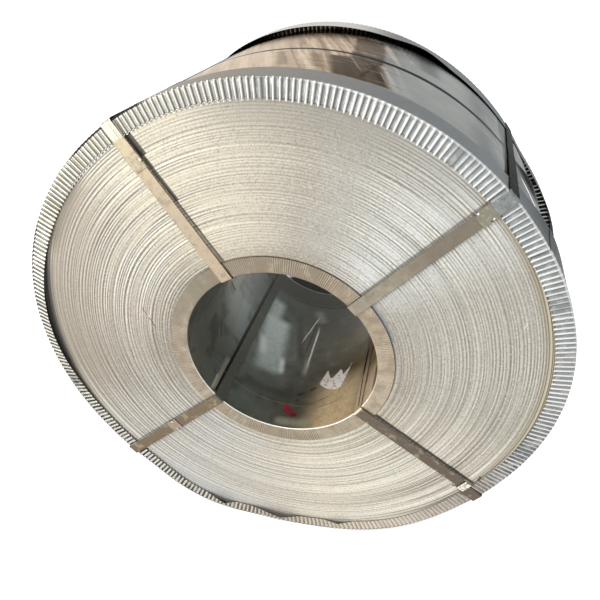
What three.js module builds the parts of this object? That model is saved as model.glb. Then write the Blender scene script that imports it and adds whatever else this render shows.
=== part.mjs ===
// A packaged coil of steel strip, lying on its outside with its bore level.
// Millimetres, +Z up. The coil's axis runs along Y, and its front end faces -Y.
// Turns around the axis are in degrees from straight up, clockwise as the front end is seen.
import * as THREE from "three";

// Strip
const stripWidth = 710;
const stripBore = 508;
const stripOutside = 1360;
const turnGroups = 4;
const turnGroupLean = 1.6;

// Sheets laid on the strip
const seatGap = 0.3;
const wrapSheet = 0.6;
const wrapLap = 60;
const wrapLapCentre = -45;
const wrapEndSetback = 2;
const linerSheet = 0.8;
const linerSetback = 1;

// Edge rings, each one a strip of sheet bent to an L
const ringSheet = 1;
const ringFaceWidth = 42;
const ringSideWidth = 90;
const pleatCount = 320;
const pleatDepth = 4;
const pleatDepthAtBend = 2.4;
const pleatStart = 3;
const innerRingCrest = 2;

// An outer ring is held down by the straps and by the floor, and springs off the wrap between
// them. These are the heights of the rises. The rear top one peaks at this share of its span.
const frontTopRise = 1;
const frontRightRise = 9;
const frontBelowRise = 9;
const frontLeftRise = 7;
const rearTopRise = 17;
const rearTopPeak = 0.29;
const rearRightRise = 56;
const rearBelowRise = 0;
const rearLeftRise = 12;
const riseSteepness = 1.5;

// Creases by the floor, where the front ring's face leg is bent off the strip's end
const leftCreaseLift = 19;
const floorCreaseLift = 21;
const rightCreaseLift = 14;

// Straps and their seals
const strapWidth = 32;
const strapSheet = 1;
const strapCorner = 3;
const sealLength = 38;
const sealSheet = 1.2;
const sealClearance = 0.4;
const outerSealInset = 62;
const upperSealInset = 99;
const midwaySealInset = 225;

// Each strap's turn in the bore, on the outside at the front and at the back, and how far its
// seal lies in from the ring's skin. They are listed clockwise from the upper left.
const straps = [
  { name: "strap_1", seal: "seal_1", bore: -28, front: -32, rear: -32, inset: upperSealInset },
  { name: "strap_2", seal: "seal_2", bore: 44.5, front: 43.5, rear: 51, inset: outerSealInset },
  { name: "strap_3", seal: "seal_3", bore: 121.5, front: 123, rear: 123, inset: outerSealInset },
  { name: "strap_4", seal: "seal_4", bore: -136, front: -134, rear: -134, inset: midwaySealInset },
];

// Each crease's turn, its lift at the leg's edge, and how many degrees it fades in and out over
const creases = [
  { turn: 197, lift: leftCreaseLift, before: 3, after: 10 },
  { turn: 180.5, lift: floorCreaseLift, before: 6, after: 14 },
  { turn: 164, lift: rightCreaseLift, before: 4, after: 4 },
];

// Facets round a full turn. One facet lies centred on the floor.
const facets = 72;

// Radii from the bore outwards
const boreRadius = stripBore / 2;
const outsideRadius = stripOutside / 2;
const linerRadius = boreRadius - seatGap;
const innerRingRadius = linerRadius - linerSheet - seatGap;
const rearWrapRadius = outsideRadius + seatGap;
const frontWrapRadius = rearWrapRadius + wrapSheet + seatGap;
const outerRingRadius = frontWrapRadius + wrapSheet + seatGap;
const ringSkinRadius = outerRingRadius + ringSheet;

// Straps lie flat across their width: outside on the ring's skin, in the bore on their two edges.
const facetShare = Math.cos(Math.PI / facets);
const innerRingSkin = innerRingRadius - ringSheet;
const strapOutside = ringSkinRadius + seatGap;
const strapInside = Math.sqrt((innerRingSkin * facetShare - seatGap) ** 2 - (strapWidth / 2) ** 2);

// Planes from the middle of the strip's width to an end
const halfWidth = stripWidth / 2;
const ringSeat = halfWidth + turnGroupLean + seatGap;
const ringBend = ringSeat + ringSheet + pleatDepthAtBend;
const pleatCrest = ringSeat + ringSheet + pleatDepth;
const strapSeat = pleatCrest + seatGap;

const degrees = Math.PI / 180;
const fullTurn = 2 * Math.PI;
const floorTurn = 180;

function steel(color, roughness) {
  return new THREE.MeshStandardMaterial({ color, roughness, metalness: 0.9 });
}

const stripSteel = steel(0xbcb5a4, 0.5);
const wrapSteel = steel(0x8d8f8d, 0.25);
const linerSteel = steel(0x59615b, 0.3);
const outerRingSteel = steel(0xb9bab7, 0.35);
const innerRingSteel = steel(0xa39680, 0.5);
const strapSteel = steel(0x93836d, 0.5);
const sealSteel = steel(0xa89a84, 0.45);

function piece(name, geometry, material) {
  const mesh = new THREE.Mesh(geometry, material);
  mesh.name = name;
  return mesh;
}

// A closed section of [radius, place along Y] corners, turned about the Y axis.
function turned(section) {
  const corners = section.map(([radius, y]) => new THREE.Vector2(radius, y));
  corners.push(corners[0].clone());
  return new THREE.LatheGeometry(corners, facets, fullTurn / facets / 2, fullTurn);
}

function tube(inside, wall, y0, y1) {
  return turned([[inside, y0], [inside + wall, y0], [inside + wall, y1], [inside, y1]]);
}

// The strip's end between the two rings is a row of turn groups. Each group leans out by
// turnGroupLean from its inner turn to its outer turn, and the next one starts back again.
function endSection(side) {
  const bareFrom = boreRadius + ringFaceWidth;
  const bareTo = outsideRadius - ringFaceWidth;
  const corners = [[boreRadius, side * halfWidth]];
  for (let group = 0; group < turnGroups; group += 1) {
    const innerTurn = THREE.MathUtils.lerp(bareFrom, bareTo, group / turnGroups);
    const outerTurn = THREE.MathUtils.lerp(bareFrom, bareTo, (group + 1) / turnGroups);
    corners.push([innerTurn, side * halfWidth]);
    corners.push([outerTurn, side * (halfWidth + turnGroupLean)]);
  }
  corners.push([bareTo, side * halfWidth]);
  corners.push([outsideRadius, side * halfWidth]);
  return corners;
}

function strip() {
  const section = [...endSection(-1), ...endSection(1).reverse()];
  return piece("coil", turned(section), stripSteel);
}

// The two wrapper sheets lap near the middle of the width, with the front one on top.
function wraps() {
  const lapFront = wrapLapCentre - wrapLap / 2;
  const lapRear = wrapLapCentre + wrapLap / 2;
  const end = halfWidth - wrapEndSetback;
  const front = tube(frontWrapRadius, wrapSheet, -end, lapRear);
  const rear = tube(rearWrapRadius, wrapSheet, lapFront, end);
  return [piece("outer_wrap_front", front, wrapSteel), piece("outer_wrap_rear", rear, wrapSteel)];
}

function liner() {
  const end = halfWidth - linerSetback;
  return piece("bore_liner", tube(linerRadius - linerSheet, linerSheet, -end, end), linerSteel);
}

// The inner ring lines the edge of the bore and laps over the strip's end.
function innerRing(name, side) {
  const faceEdge = innerRingRadius + ringFaceWidth;
  const crest = ringSeat + ringSheet + innerRingCrest;
  const legEnd = halfWidth - ringSideWidth;
  const section = [
    [innerRingSkin, legEnd],
    [innerRingRadius, legEnd],
    [innerRingRadius, ringSeat],
    [faceEdge, ringSeat],
    [faceEdge, crest],
    [innerRingSkin, crest],
  ];
  if (side < 0) {
    section.reverse();
  }
  return piece(name, turned(section.map(([radius, y]) => [radius, side * y])), innerRingSteel);
}

function degreesFrom(start, turn) {
  return THREE.MathUtils.euclideanModulo(turn - start, 360);
}

// The spans of an outer ring between what holds it down, clockwise from the upper left strap.
function ringSpans(turnAt, { top, topPeak = 0.5, right, below, left }) {
  const [upperLeft, upperRight, lowerRight, lowerLeft] = straps.map(turnAt);
  return [
    { from: upperLeft, to: upperRight, rise: top, peak: topPeak },
    { from: upperRight, to: lowerRight, rise: right, peak: 0.5 },
    { from: lowerRight, to: floorTurn, rise: below, peak: 0.5 },
    { from: floorTurn, to: lowerLeft, rise: below, peak: 0.5 },
    { from: lowerLeft, to: upperLeft, rise: left, peak: 0.5 },
  ];
}

// How far a ring stands off its seat at a turn. A facet on each side of a hold stays down.
function springOff(turn, spans) {
  const grip = 360 / facets;
  for (const { from, to, rise, peak } of spans) {
    const length = degreesFrom(from, to) - 2 * grip;
    const along = degreesFrom(from + grip, turn) / length;
    if (along < 1) {
      const skewed = along ** (Math.log(0.5) / Math.log(peak));
      return rise * Math.sin(Math.PI * skewed) ** riseSteepness;
    }
  }
  return 0;
}

// How far the front ring's face leg is bent off the strip's end at its inner edge.
function creaseLift(turn) {
  const lifts = creases.map((crease) => {
    const away = degreesFrom(crease.turn - 180, turn) - 180;
    const fade = away < 0 ? crease.before : crease.after;
    return crease.lift * Math.max(0, 1 - Math.abs(away) / fade);
  });
  return Math.max(...lifts);
}

// A loop of points at equal turns. place(step, turn) gives each one's [radius, place along Y].
function loop(count, offset, place) {
  return Array.from({ length: count }, (_, step) => {
    const turn = ((step + offset) * fullTurn) / count;
    const [radius, y] = place(step, turn);
    return { turn, x: radius * Math.sin(turn), y, z: radius * Math.cos(turn) };
  });
}

// Closes a shape through a cycle of loops, by a band of triangles between each two.
function skinned(loops) {
  const positions = [];
  const starts = [];
  for (const points of loops) {
    starts.push(positions.length / 3);
    for (const { x, y, z } of points) {
      positions.push(x, y, z);
    }
  }
  const index = [];
  loops.forEach((points, i) => {
    const next = (i + 1) % loops.length;
    band(index, points, starts[i], loops[next], starts[next]);
  });
  const geometry = new THREE.BufferGeometry();
  geometry.setAttribute("position", new THREE.Float32BufferAttribute(positions, 3));
  geometry.setIndex(index);
  return geometry;
}

// Two loops of different counts are joined by stepping on whichever is behind in turn.
function band(index, a, startA, b, startB) {
  let i = 0;
  let j = 0;
  while (i < a.length || j < b.length) {
    const cornerA = startA + (i % a.length);
    const cornerB = startB + (j % b.length);
    if (j === b.length || (i < a.length && turnAfter(a, i) <= turnAfter(b, j))) {
      i += 1;
      index.push(cornerA, startA + (i % a.length), cornerB);
    } else {
      j += 1;
      index.push(cornerA, startB + (j % b.length), cornerB);
    }
  }
}

function turnAfter(points, step) {
  return step + 1 < points.length ? points[step + 1].turn : points[0].turn + fullTurn;
}

// The outer ring's side leg wraps the strip's edge. Its face leg is gathered into straight
// pleats, deeper at the inner edge than at the bend, because it has to shorten round the turn.
// A creased leg swings about its bend, so its edge comes off the strip's end and moves outwards.
function outerRing(name, side, spans, edgeSteps, liftAt) {
  const bow = (turn) => springOff(turn / degrees, spans);
  const legEnd = halfWidth - ringSideWidth;
  const crestAt = (step, depth) => (step % 2 === 0 ? depth : 0);
  const edge = (y, depth) => (step, turn) => {
    const lift = liftAt(turn / degrees);
    const reach = Math.sqrt(ringFaceWidth ** 2 - lift ** 2);
    const radius = ringSkinRadius - reach + bow(turn);
    return [radius, side * (y + lift + crestAt(step, depth))];
  };
  const pleat = (radius, y, depth) => (step, turn) => {
    return [radius + bow(turn), side * (y + crestAt(step, depth))];
  };
  const plain = (radius, y) => (step, turn) => [radius + bow(turn), side * y];
  const front = ringSeat + ringSheet;
  const loops = [
    loop(2 * pleatCount, 0.5, edge(front, pleatDepth)),
    loop(2 * pleatCount, 0.5, pleat(ringSkinRadius - pleatStart, front, pleatDepthAtBend)),
    loop(facets, 0.5, plain(ringSkinRadius, ringBend - pleatDepthAtBend / 2)),
    loop(facets, 0.5, plain(ringSkinRadius, legEnd)),
    loop(facets, 0.5, plain(outerRingRadius, legEnd)),
    loop(facets, 0.5, plain(outerRingRadius, ringSeat)),
    loop(edgeSteps, 0.5, edge(ringSeat, 0)),
  ];
  if (side > 0) {
    loops.reverse();
  }
  return piece(name, skinned(loops), outerRingSteel);
}

// A strap's closed path round the strip's section, as a rectangle with round corners. Each
// station has its place, its outward direction and its turn. The outside run may lie askew.
function strapStations(strap) {
  const outside = strapOutside - strapCorner;
  const inside = strapInside + strapCorner;
  const end = strapSeat - strapCorner;
  const skew = Math.max(1, Math.ceil(Math.abs(strap.rear - strap.front)));
  const run = Array.from({ length: skew - 1 }, (_, step) => {
    const share = 1 - (step + 1) / skew;
    const turn = THREE.MathUtils.lerp(strap.front, strap.rear, share);
    return station(outside, THREE.MathUtils.lerp(-end, end, share), turn, 0);
  });
  return [
    ...roundCorner(outside, -end, strap.front, 0),
    ...roundCorner(inside, -end, strap.bore, -90),
    ...roundCorner(inside, end, strap.bore, -180),
    ...roundCorner(outside, end, strap.rear, -270),
    ...run,
  ];
}

function station(radius, y, turn, facing) {
  return { radius, y, turn, out: [Math.cos(facing * degrees), Math.sin(facing * degrees)] };
}

function roundCorner(radius, y, turn, facing) {
  const steps = 3;
  return Array.from({ length: steps + 1 }, (_, step) =>
    station(radius, y, turn, facing - (90 * step) / steps),
  );
}

// The band is a flat section carried along the stations. Its width lies square to the radius.
function strapBand(strap) {
  const stations = strapStations(strap);
  const positions = [];
  for (const { radius, y, turn, out } of stations) {
    const angle = turn * degrees;
    for (const [depth, across] of [[0, -1], [0, 1], [1, 1], [1, -1]]) {
      const reach = strapCorner + depth * strapSheet;
      const r = radius + out[0] * reach;
      const w = (across * strapWidth) / 2;
      positions.push(r * Math.sin(angle) + w * Math.cos(angle));
      positions.push(y + out[1] * reach);
      positions.push(r * Math.cos(angle) - w * Math.sin(angle));
    }
  }
  const index = [];
  const side = 4;
  for (let s = 0; s < stations.length; s += 1) {
    const next = (s + 1) % stations.length;
    for (let k = 0; k < side; k += 1) {
      const k1 = (k + 1) % side;
      const [a, b, c, d] = [s * side + k, s * side + k1, next * side + k1, next * side + k];
      index.push(a, b, c, a, c, d);
    }
  }
  const geometry = new THREE.BufferGeometry();
  geometry.setAttribute("position", new THREE.Float32BufferAttribute(positions, 3));
  geometry.setIndex(index);
  return piece(strap.name, geometry, strapSteel);
}

// A seal is a flat sleeve crimped round the strap, on the front end between the two rings.
function sealSleeve(strap) {
  const hollow = { width: strapWidth + 2 * sealClearance, depth: strapSheet + 2 * seatGap };
  const body = { width: hollow.width + 2 * sealSheet, depth: hollow.depth + 2 * sealSheet };
  const outline = rectangle(body);
  outline.holes.push(rectangle(hollow));
  const sleeve = new THREE.ExtrudeGeometry(outline, { depth: sealLength, bevelEnabled: false });
  sleeve.translate(0, 0, -sealLength / 2);
  const mesh = piece(strap.seal, sleeve, sealSteel);
  const radius = ringSkinRadius - strap.inset;
  const place = (strapOutside - radius) / (strapOutside - strapInside);
  const from = onFront(strap.front, strapOutside);
  const to = onFront(strap.bore, strapInside);
  const lean = Math.atan2(from.x - to.x, from.z - to.z);
  mesh.position.lerpVectors(from, to, place);
  mesh.position.y = -strapSeat - strapSheet / 2;
  mesh.rotation.y = lean;
  return mesh;
}

function onFront(turn, radius) {
  const angle = turn * degrees;
  return new THREE.Vector3(radius * Math.sin(angle), 0, radius * Math.cos(angle));
}

function rectangle({ width, depth }) {
  const shape = new THREE.Shape();
  shape.moveTo(-width / 2, -depth / 2);
  shape.lineTo(width / 2, -depth / 2);
  shape.lineTo(width / 2, depth / 2);
  shape.lineTo(-width / 2, depth / 2);
  shape.closePath();
  return shape;
}

const model = new THREE.Group();
model.add(strip(), ...wraps(), liner());
model.add(innerRing("inner_ring_front", -1), innerRing("inner_ring_rear", 1));

const frontSpans = ringSpans((strap) => strap.front, {
  top: frontTopRise,
  right: frontRightRise,
  below: frontBelowRise,
  left: frontLeftRise,
});
const rearSpans = ringSpans((strap) => strap.rear, {
  top: rearTopRise,
  topPeak: rearTopPeak,
  right: rearRightRise,
  below: rearBelowRise,
  left: rearLeftRise,
});
model.add(outerRing("outer_ring_front", -1, frontSpans, pleatCount, creaseLift));
model.add(outerRing("outer_ring_rear", 1, rearSpans, facets, () => 0));

for (const strap of straps) {
  model.add(strapBand(strap), sealSleeve(strap));
}

// The origin is at the middle of the floor patch: the part's box is centred over it.
const box = new THREE.Box3().setFromObject(model);
const centre = box.getCenter(new THREE.Vector3());
model.position.set(-centre.x, -centre.y, -box.min.z);

const group = new THREE.Group();
group.add(model);

export default group;
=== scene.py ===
import math
from functools import partial
from types import SimpleNamespace

import bpy
import numpy as np
from mathutils import Matrix, Vector


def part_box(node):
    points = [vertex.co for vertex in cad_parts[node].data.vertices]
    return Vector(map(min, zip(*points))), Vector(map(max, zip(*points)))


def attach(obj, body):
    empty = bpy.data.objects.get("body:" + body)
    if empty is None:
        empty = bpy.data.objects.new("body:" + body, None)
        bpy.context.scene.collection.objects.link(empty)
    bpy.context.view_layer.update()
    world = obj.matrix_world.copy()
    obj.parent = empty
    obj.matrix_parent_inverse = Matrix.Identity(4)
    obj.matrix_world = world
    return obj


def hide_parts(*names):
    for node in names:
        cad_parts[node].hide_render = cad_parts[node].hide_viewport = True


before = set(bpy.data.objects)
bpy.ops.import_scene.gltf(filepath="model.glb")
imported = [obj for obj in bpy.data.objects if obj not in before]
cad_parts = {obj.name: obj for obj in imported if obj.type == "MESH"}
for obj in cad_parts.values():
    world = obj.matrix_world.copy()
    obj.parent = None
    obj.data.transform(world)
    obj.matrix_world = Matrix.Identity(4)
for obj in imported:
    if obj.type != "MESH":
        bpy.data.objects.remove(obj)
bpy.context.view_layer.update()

# A packaged coil of steel strip, lying on its outside with its bore level.
# Lengths are millimetres until shell() turns them to metres. A turn is in degrees from straight up
# round the coil's axis, clockwise as the front end is seen. A depth is measured out along the axis
# from the middle of the strip's width, towards the front where side is -1.
MM = 0.001
FRONT, REAR = -1, 1


def box_mm(node):
    """The lowest and highest corner of a frame node, in millimetres."""
    low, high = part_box(node)
    return np.array(low) / MM, np.array(high) / MM


def radius_of(node):
    """The radius of a frame node that is round about the axis: half its height."""
    low, high = box_mm(node)
    return (high[2] - low[2]) / 2


# What the frame gives
COIL_LOW, COIL_HIGH = box_mm("coil")
AXIS_X, MID_Y, AXIS_Z = (COIL_LOW + COIL_HIGH) / 2
COIL_RADIUS = radius_of("coil")
END_DEPTH = (COIL_HIGH[1] - COIL_LOW[1]) / 2
RING_SKIN = AXIS_Z
LINER_OUTSIDE = radius_of("bore_liner")
FLANGE_RADIUS = radius_of("inner_ring_front")
REAR_WRAP_SKIN = radius_of("outer_wrap_rear")
FRONT_WRAP_SKIN = radius_of("outer_wrap_front")

# Sheets and clearances
GAP = 0.3
WRAP_SHEET = 0.6
LINER_SHEET = 0.8
RING_SHEET = 0.8
STRAP_SHEET = 1.0
STRAP_WIDTH = 32
PAPER_SHEET = 0.3

# Edge rings
FACE_LEG = 42
SIDE_LEG = 90
HALF_STRIP = 355
RING_SEAT = END_DEPTH + GAP
SIDE_LEG_END = HALF_STRIP - SIDE_LEG
PLEATS = 320
PLEAT_DEPTH = 4.0
PLEAT_DEPTH_AT_BEND = 2.4
BEND = 3.0
BEND_SEAT = RING_SEAT + RING_SHEET - BEND

# Straps: turn in the bore, and on the outside at the front and at the rear. A seal has its inset
# from the ring's skin, its half length and its crimps, as (place along, side). Where a strap
# crosses the front ring it takes a print of the pleats, a crumple, a sideways sway, a buckle and
# a tone.
STRAP_DATA = ("bore", "front", "rear", "seal", "half", "crimps", "print", "crumple", "sway",
              "buckle", "crossing")
STRAPS = {number: dict(zip(STRAP_DATA, row)) for number, row in {
    "1": (-29.5, -32.5, -32.5, 99, 21, [(2, 1)], 1.5, 0.2, 0, 0, "pale"),
    "2": (45.4, 44.1, 51.3, 62, 20, [(8, 1), (-9, -1)], 0.6, 1.3, 0, 0, "zinc"),
    "3": (122.8, 123.8, 123.6, 62, 11, [(-6, 1), (4, -1)], 0.3, 0.8, 13, 7, "bare"),
    "4": (-134.7, -133.5, -133.7, 225, 20, [(-3, 1), (4, -1)], 0.3, 0.2, 0, 0, "bare"),
}.items()}
STRAP_SEAT = RING_SEAT + RING_SHEET + PLEAT_DEPTH + GAP / 2
STRAP_OUTSIDE = RING_SKIN + 0.9
STRAP_INSIDE = 250.55
STRAP_CORNER = 3.0


# Seeds of the random drifts
FRONT_RELIEF_SEED, REAR_RELIEF_SEED = 11, 21
BULGE_SEED, LINER_SEED = 31, 41
FRONT_SEED, REAR_SEED = 51, 71
FRONT_CRIMP_SEED, REAR_CRIMP_SEED = 81, 91
STRAP_SEED = 60


# ---------------------------------------------------------------- numbers and shapes

def smooth(x):
    """A ramp from 0 to 1 that starts and ends level: 3x^2 - 2x^3, held outside 0..1."""
    x = np.clip(x, 0, 1)
    return x * x * (3 - 2 * x)


def drift(along, turn, spacing, cells, seed):
    """Smooth seeded values in -1..1. Random numbers sit on a grid, spacing mm apart along one way
    and cells to the full turn the other way, and smoothstep joins them. The turn closes."""
    along, turn = np.broadcast_arrays(along / spacing, np.mod(turn / 360, 1) * cells)
    i, j = np.floor(along).astype(int), np.floor(turn).astype(int)
    values = np.random.default_rng(seed).uniform(-1, 1, (i.max() - i.min() + 2, cells))
    share_i, share_j = smooth(along - i), smooth(turn - j)
    i, j, after = i - i.min(), j % cells, (j + 1) % cells
    near = values[i, j] * (1 - share_j) + values[i, after] * share_j
    far = values[i + 1, j] * (1 - share_j) + values[i + 1, after] * share_j
    return near * (1 - share_i) + far * share_i


def round_drift(turn, cells, seed):
    """drift() that changes only with the turn."""
    return drift(0 * turn, turn, 1, cells, seed)


def away_from(turn, centre):
    """The signed degrees from a centre turn to each turn, from -180 to 180."""
    return np.mod(turn - centre + 180, 360) - 180


def hump(turn, centre, half, gain=1.0):
    """A smooth hump, 1 at a centre turn and 0 from `half` degrees on. A gain flattens its top."""
    return smooth(gain * (1 - np.abs(away_from(turn, centre)) / half))


def place(radius, turn, y):
    """Points in the frame from a radius, a turn and a place along the axis from mid width:
    x = axis + radius sin(turn), z = axis + radius cos(turn)."""
    radius, turn, y = np.broadcast_arrays(radius, np.radians(turn), y)
    return np.stack([AXIS_X + radius * np.sin(turn), MID_Y + y, AXIS_Z + radius * np.cos(turn)], -1)


def turns(count):
    """A column of turns, evenly round the coil."""
    return np.linspace(0, 360, count, endpoint=False)[:, None]


def side_by_side(turn, *parts):
    """Joins columns of values, each part spread over every turn."""
    return np.concatenate([np.broadcast_to(p, (len(turn), np.shape(p)[-1])) for p in parts], 1)


def there_and_back(out, home=None):
    """Columns out along one skin, and back along the other or the same one."""
    return np.concatenate([out, (out if home is None else home)[:, ::-1]], 1)


def unit(vectors):
    """Each vector cut to length 1."""
    return vectors / np.linalg.norm(vectors, axis=-1, keepdims=True)


def distances(points, closed):
    """How far along a chain each of its points lies, with the start again at the end if closed."""
    chain = np.concatenate([points, points[:1]]) if closed else points
    steps = np.linalg.norm(np.diff(chain, axis=0), axis=-1)
    return np.concatenate([np.zeros((1,) + steps.shape[1:]), np.cumsum(steps, 0)])


def shell(name, points, finish, closed=True, tones=None, crease=50, stands_for=()):
    """A closed skin over a grid of points. Columns go round a section and close. Rows follow the
    path: they close too, or end in caps that join column k to column -1-k. The faces are turned
    out by the sign of the volume that they enclose. The UV map is metres along and across."""
    rows, columns = points.shape[:2]
    grid = np.arange(rows * columns).reshape(rows, columns)
    if closed:
        grid = np.vstack([grid, grid[:1]])
    grid = np.hstack([grid, grid[:, :1]])
    along = distances(points.mean(1), closed) * MM
    across = distances(np.swapaxes(points, 0, 1), True).mean(-1) * MM
    uv = np.stack(np.broadcast_arrays(along[:, None], across[None, :]), -1)
    quads, corners = (np.stack([a[:-1, :-1], a[:-1, 1:], a[1:, 1:], a[1:, :-1]], 2)
                      for a in (grid, uv))
    quads, corners = quads.reshape(-1, 4), corners.reshape(-1, 4, 2)
    if not closed:
        k = np.arange(columns // 2 - 1)
        cap = np.stack([k, k + 1, columns - 2 - k, columns - 1 - k], -1)
        quads = np.vstack([quads, cap[:, ::-1], cap + (rows - 1) * columns])
        corners = np.vstack([corners, np.zeros((2 * len(cap), 4, 2))])
    flat = points.reshape(-1, 3) * MM
    a, b, c, d = (flat[quads[:, k]] for k in range(4))
    volume = np.einsum("ij,ij->", a, np.cross(b, c)) + np.einsum("ij,ij->", a, np.cross(c, d))
    if volume < 0:
        quads, corners = quads[:, ::-1], corners[:, ::-1]
    mesh = mesh_of(name, flat, quads, corners, tones or {})
    mesh.set_sharp_from_angle(angle=math.radians(crease))
    mesh.materials.append(finish)
    obj = bpy.data.objects.new(name, mesh)
    bpy.context.scene.collection.objects.link(obj)
    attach(obj, "root")
    if stands_for:
        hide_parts(*stands_for)


def mesh_of(name, vertices, quads, corners, tones):
    """A smooth mesh from arrays of vertices, quads and UV corners, with a tone at each vertex."""
    mesh = bpy.data.meshes.new(name)
    mesh.vertices.add(len(vertices))
    mesh.vertices.foreach_set("co", vertices.astype(np.float32).ravel())
    mesh.loops.add(quads.size)
    mesh.loops.foreach_set("vertex_index", np.ascontiguousarray(quads, np.int32).ravel())
    mesh.polygons.add(len(quads))
    mesh.polygons.foreach_set("loop_start", np.arange(0, quads.size, 4, dtype=np.int32))
    mesh.update(calc_edges=True)
    mesh.uv_layers.new(name="UVMap").data.foreach_set("uv", corners.astype(np.float32).ravel())
    for tone, values in tones.items():
        values = np.ascontiguousarray(values, np.float32).ravel()
        mesh.attributes.new(tone, "FLOAT", "POINT").data.foreach_set("value", values)
    mesh.polygons.foreach_set("use_smooth", np.ones(len(quads), bool))
    return mesh


# ---------------------------------------------------------------- the wound strip

BARE_FROM, BARE_TO = FLANGE_RADIUS + 2, COIL_RADIUS - FACE_LEG + 1
TURN_GROUPS = 4
GROUP_LEAN = 1.0
DEEPEST_TURN = -2.2
# How far the lines are bent off true circles
LINE_BEND = 2.5
# Layers of drift that move the turns: size and spacing in mm, and cells to the full turn
TURN_DRIFTS = [(0.06, 24, 4), (0.04, 8, 6), (0.10, 3.4, 24)]
# Steps of the section: round the coil, across the front end and across the plainer rear one
TURN_STEPS, FRONT_STEPS, REAR_STEPS = 240, 270, 118
# Beyond this depth the strip's skins belong to its ends
SKIN_END = 340


def end_relief(radius, turn, seed):
    """How far the strip's edge stands out at a radius and turn. Each of the turn groups leans out
    from 0 to GROUP_LEAN, and TURN_DRIFTS move single turns and bundles of them. The radius is bent
    by a slow drift first, so the lines aren't quite true circles."""
    bent = radius + LINE_BEND * drift(radius, turn, 220, 5, seed)
    share = np.clip((bent - BARE_FROM) / (BARE_TO - BARE_FROM), 0, 0.9999) * TURN_GROUPS
    lean = GROUP_LEAN * (share - np.floor(share))
    for number, (size, spacing, cells) in enumerate(TURN_DRIFTS, 1):
        lean = lean + size * drift(bent, turn, spacing, cells, seed + number)
    return np.clip(lean, DEEPEST_TURN, GROUP_LEAN)


def wound_strip():
    """The section is carried round the axis: front end outwards, outside, rear end inwards, bore.
    Depth at an end = half the strip's width + end_relief."""
    turn = turns(TURN_STEPS)
    bore = LINER_OUTSIDE + GAP
    front = np.linspace(bore, COIL_RADIUS, FRONT_STEPS)[None, :]
    rear = np.linspace(COIL_RADIUS, bore, REAR_STEPS)[None, :]
    skin = np.linspace(-SKIN_END, SKIN_END, 5)[None, :]
    points = np.concatenate([
        place(front, turn, -(HALF_STRIP + end_relief(front, turn, FRONT_RELIEF_SEED))),
        place(COIL_RADIUS, turn, skin),
        place(rear, turn, HALF_STRIP + end_relief(rear, turn, REAR_RELIEF_SEED)),
        place(bore, turn, -skin),
    ], 1)
    shell("wound_strip", points, slit_edges(), crease=60, stands_for=["coil"])


# ---------------------------------------------------------------- wrapper sheets and liner

WRAP_END = 353
LINER_END = 354
LAP_FRONT, LAP_REAR = -75, -15
WRAP_BULGE = 1.1
# Where the drifts' grids start along the axis
DRIFT_START = -400
# The front sheet's curled edge: height, width, and the turn it is highest at
CURL, CURL_WIDTH, CURL_TURN = 8, 45, 55


def bulge(y, turn):
    """How far a wrapper sheet stands off the strip: shallow buckles between the rings, level
    with them at the rings. Both sheets share it, so they stay clear of each other."""
    bare = smooth((SIDE_LEG_END - np.abs(y)) / 60)
    return bare * (0.5 + 0.5 * drift(y - DRIFT_START, turn, 130, 26, BULGE_SEED)) * WRAP_BULGE


def curled_edge(y, turn):
    """The front sheet's rear edge curls up within 8 degrees of CURL_TURN."""
    return CURL * hump(turn, CURL_TURN, 8) * smooth((y - LAP_REAR + CURL_WIDTH) / CURL_WIDTH)


def wrapper(name, skin, y0, y1, extra, node):
    """A sheet round the outside. Radius = its skin + bulge + extra, less the sheet inside."""
    turn = turns(360)
    y = np.linspace(y0, y1, 40)[None, :]
    radius = skin + bulge(y, turn) + extra(y, turn)
    points = there_and_back(place(radius, turn, y), place(radius - WRAP_SHEET, turn, y))
    shell(name, points, wrapper_sheet(), stands_for=[node])


def bore_liner():
    """A sheet inside the bore, radius = its skin - a slow drift, so that its gloss wavers."""
    turn = turns(240)
    y = np.linspace(-LINER_END, LINER_END, 60)[None, :]
    waver = 0.25 * (1 + drift(y - DRIFT_START, turn, 110, 14, LINER_SEED))
    waver = waver * smooth((SIDE_LEG_END - np.abs(y)) / 80)
    inside = place(LINER_OUTSIDE - LINER_SHEET - waver, turn, y)
    points = there_and_back(inside, place(LINER_OUTSIDE, turn, y))
    shell("bore_sheet", points, liner_sheet(), stands_for=["bore_liner"])


# ---------------------------------------------------------------- outer rings

# How far each stretch of a ring between two holds springs off, and where over the top it peaks
RISES = {
    "front": {"top": 1.5, "right": 11, "below": 13, "lower_left": 22, "left": 10.5},
    "rear": {"top": 16.8, "right": 55.7, "below": 0, "lower_left": 0, "left": 11.7},
}
TOP_PEAK = {"front": 0.5, "rear": 0.29}
GRIP = 5.0
STEEPNESS = 1.5
# Turn, lift at the leg's edge, and degrees it fades in and out over
CREASES = [(197.0, 15, 3, 6), (180.5, 17, 6, 9), (164.0, 11, 4, 4)]
# Where the front ring's face leg lifts, and where a side leg's free edge stands out: the turn and
# the half width in degrees, and the height
LEFT_LIFT = (-89.0, 34), 13
FRONT_FLARE = (56, 15), 10
REAR_FLARE = (22, 9), 7
# Turn and half width of where pleats are knocked flat
FRONT_KNOCKS = [(33.0, 1.2), (-2.0, 1.0)]
PLEAT_EDGE = 2.2
# How far the pleats draw the face leg's free edge in and out, and over how much of the leg
SCALLOP, SCALLOP_OVER = 3.2, 6
# Degrees over which the end of a ring's lap comes down on its seat
LAP_EASE = 6


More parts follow.
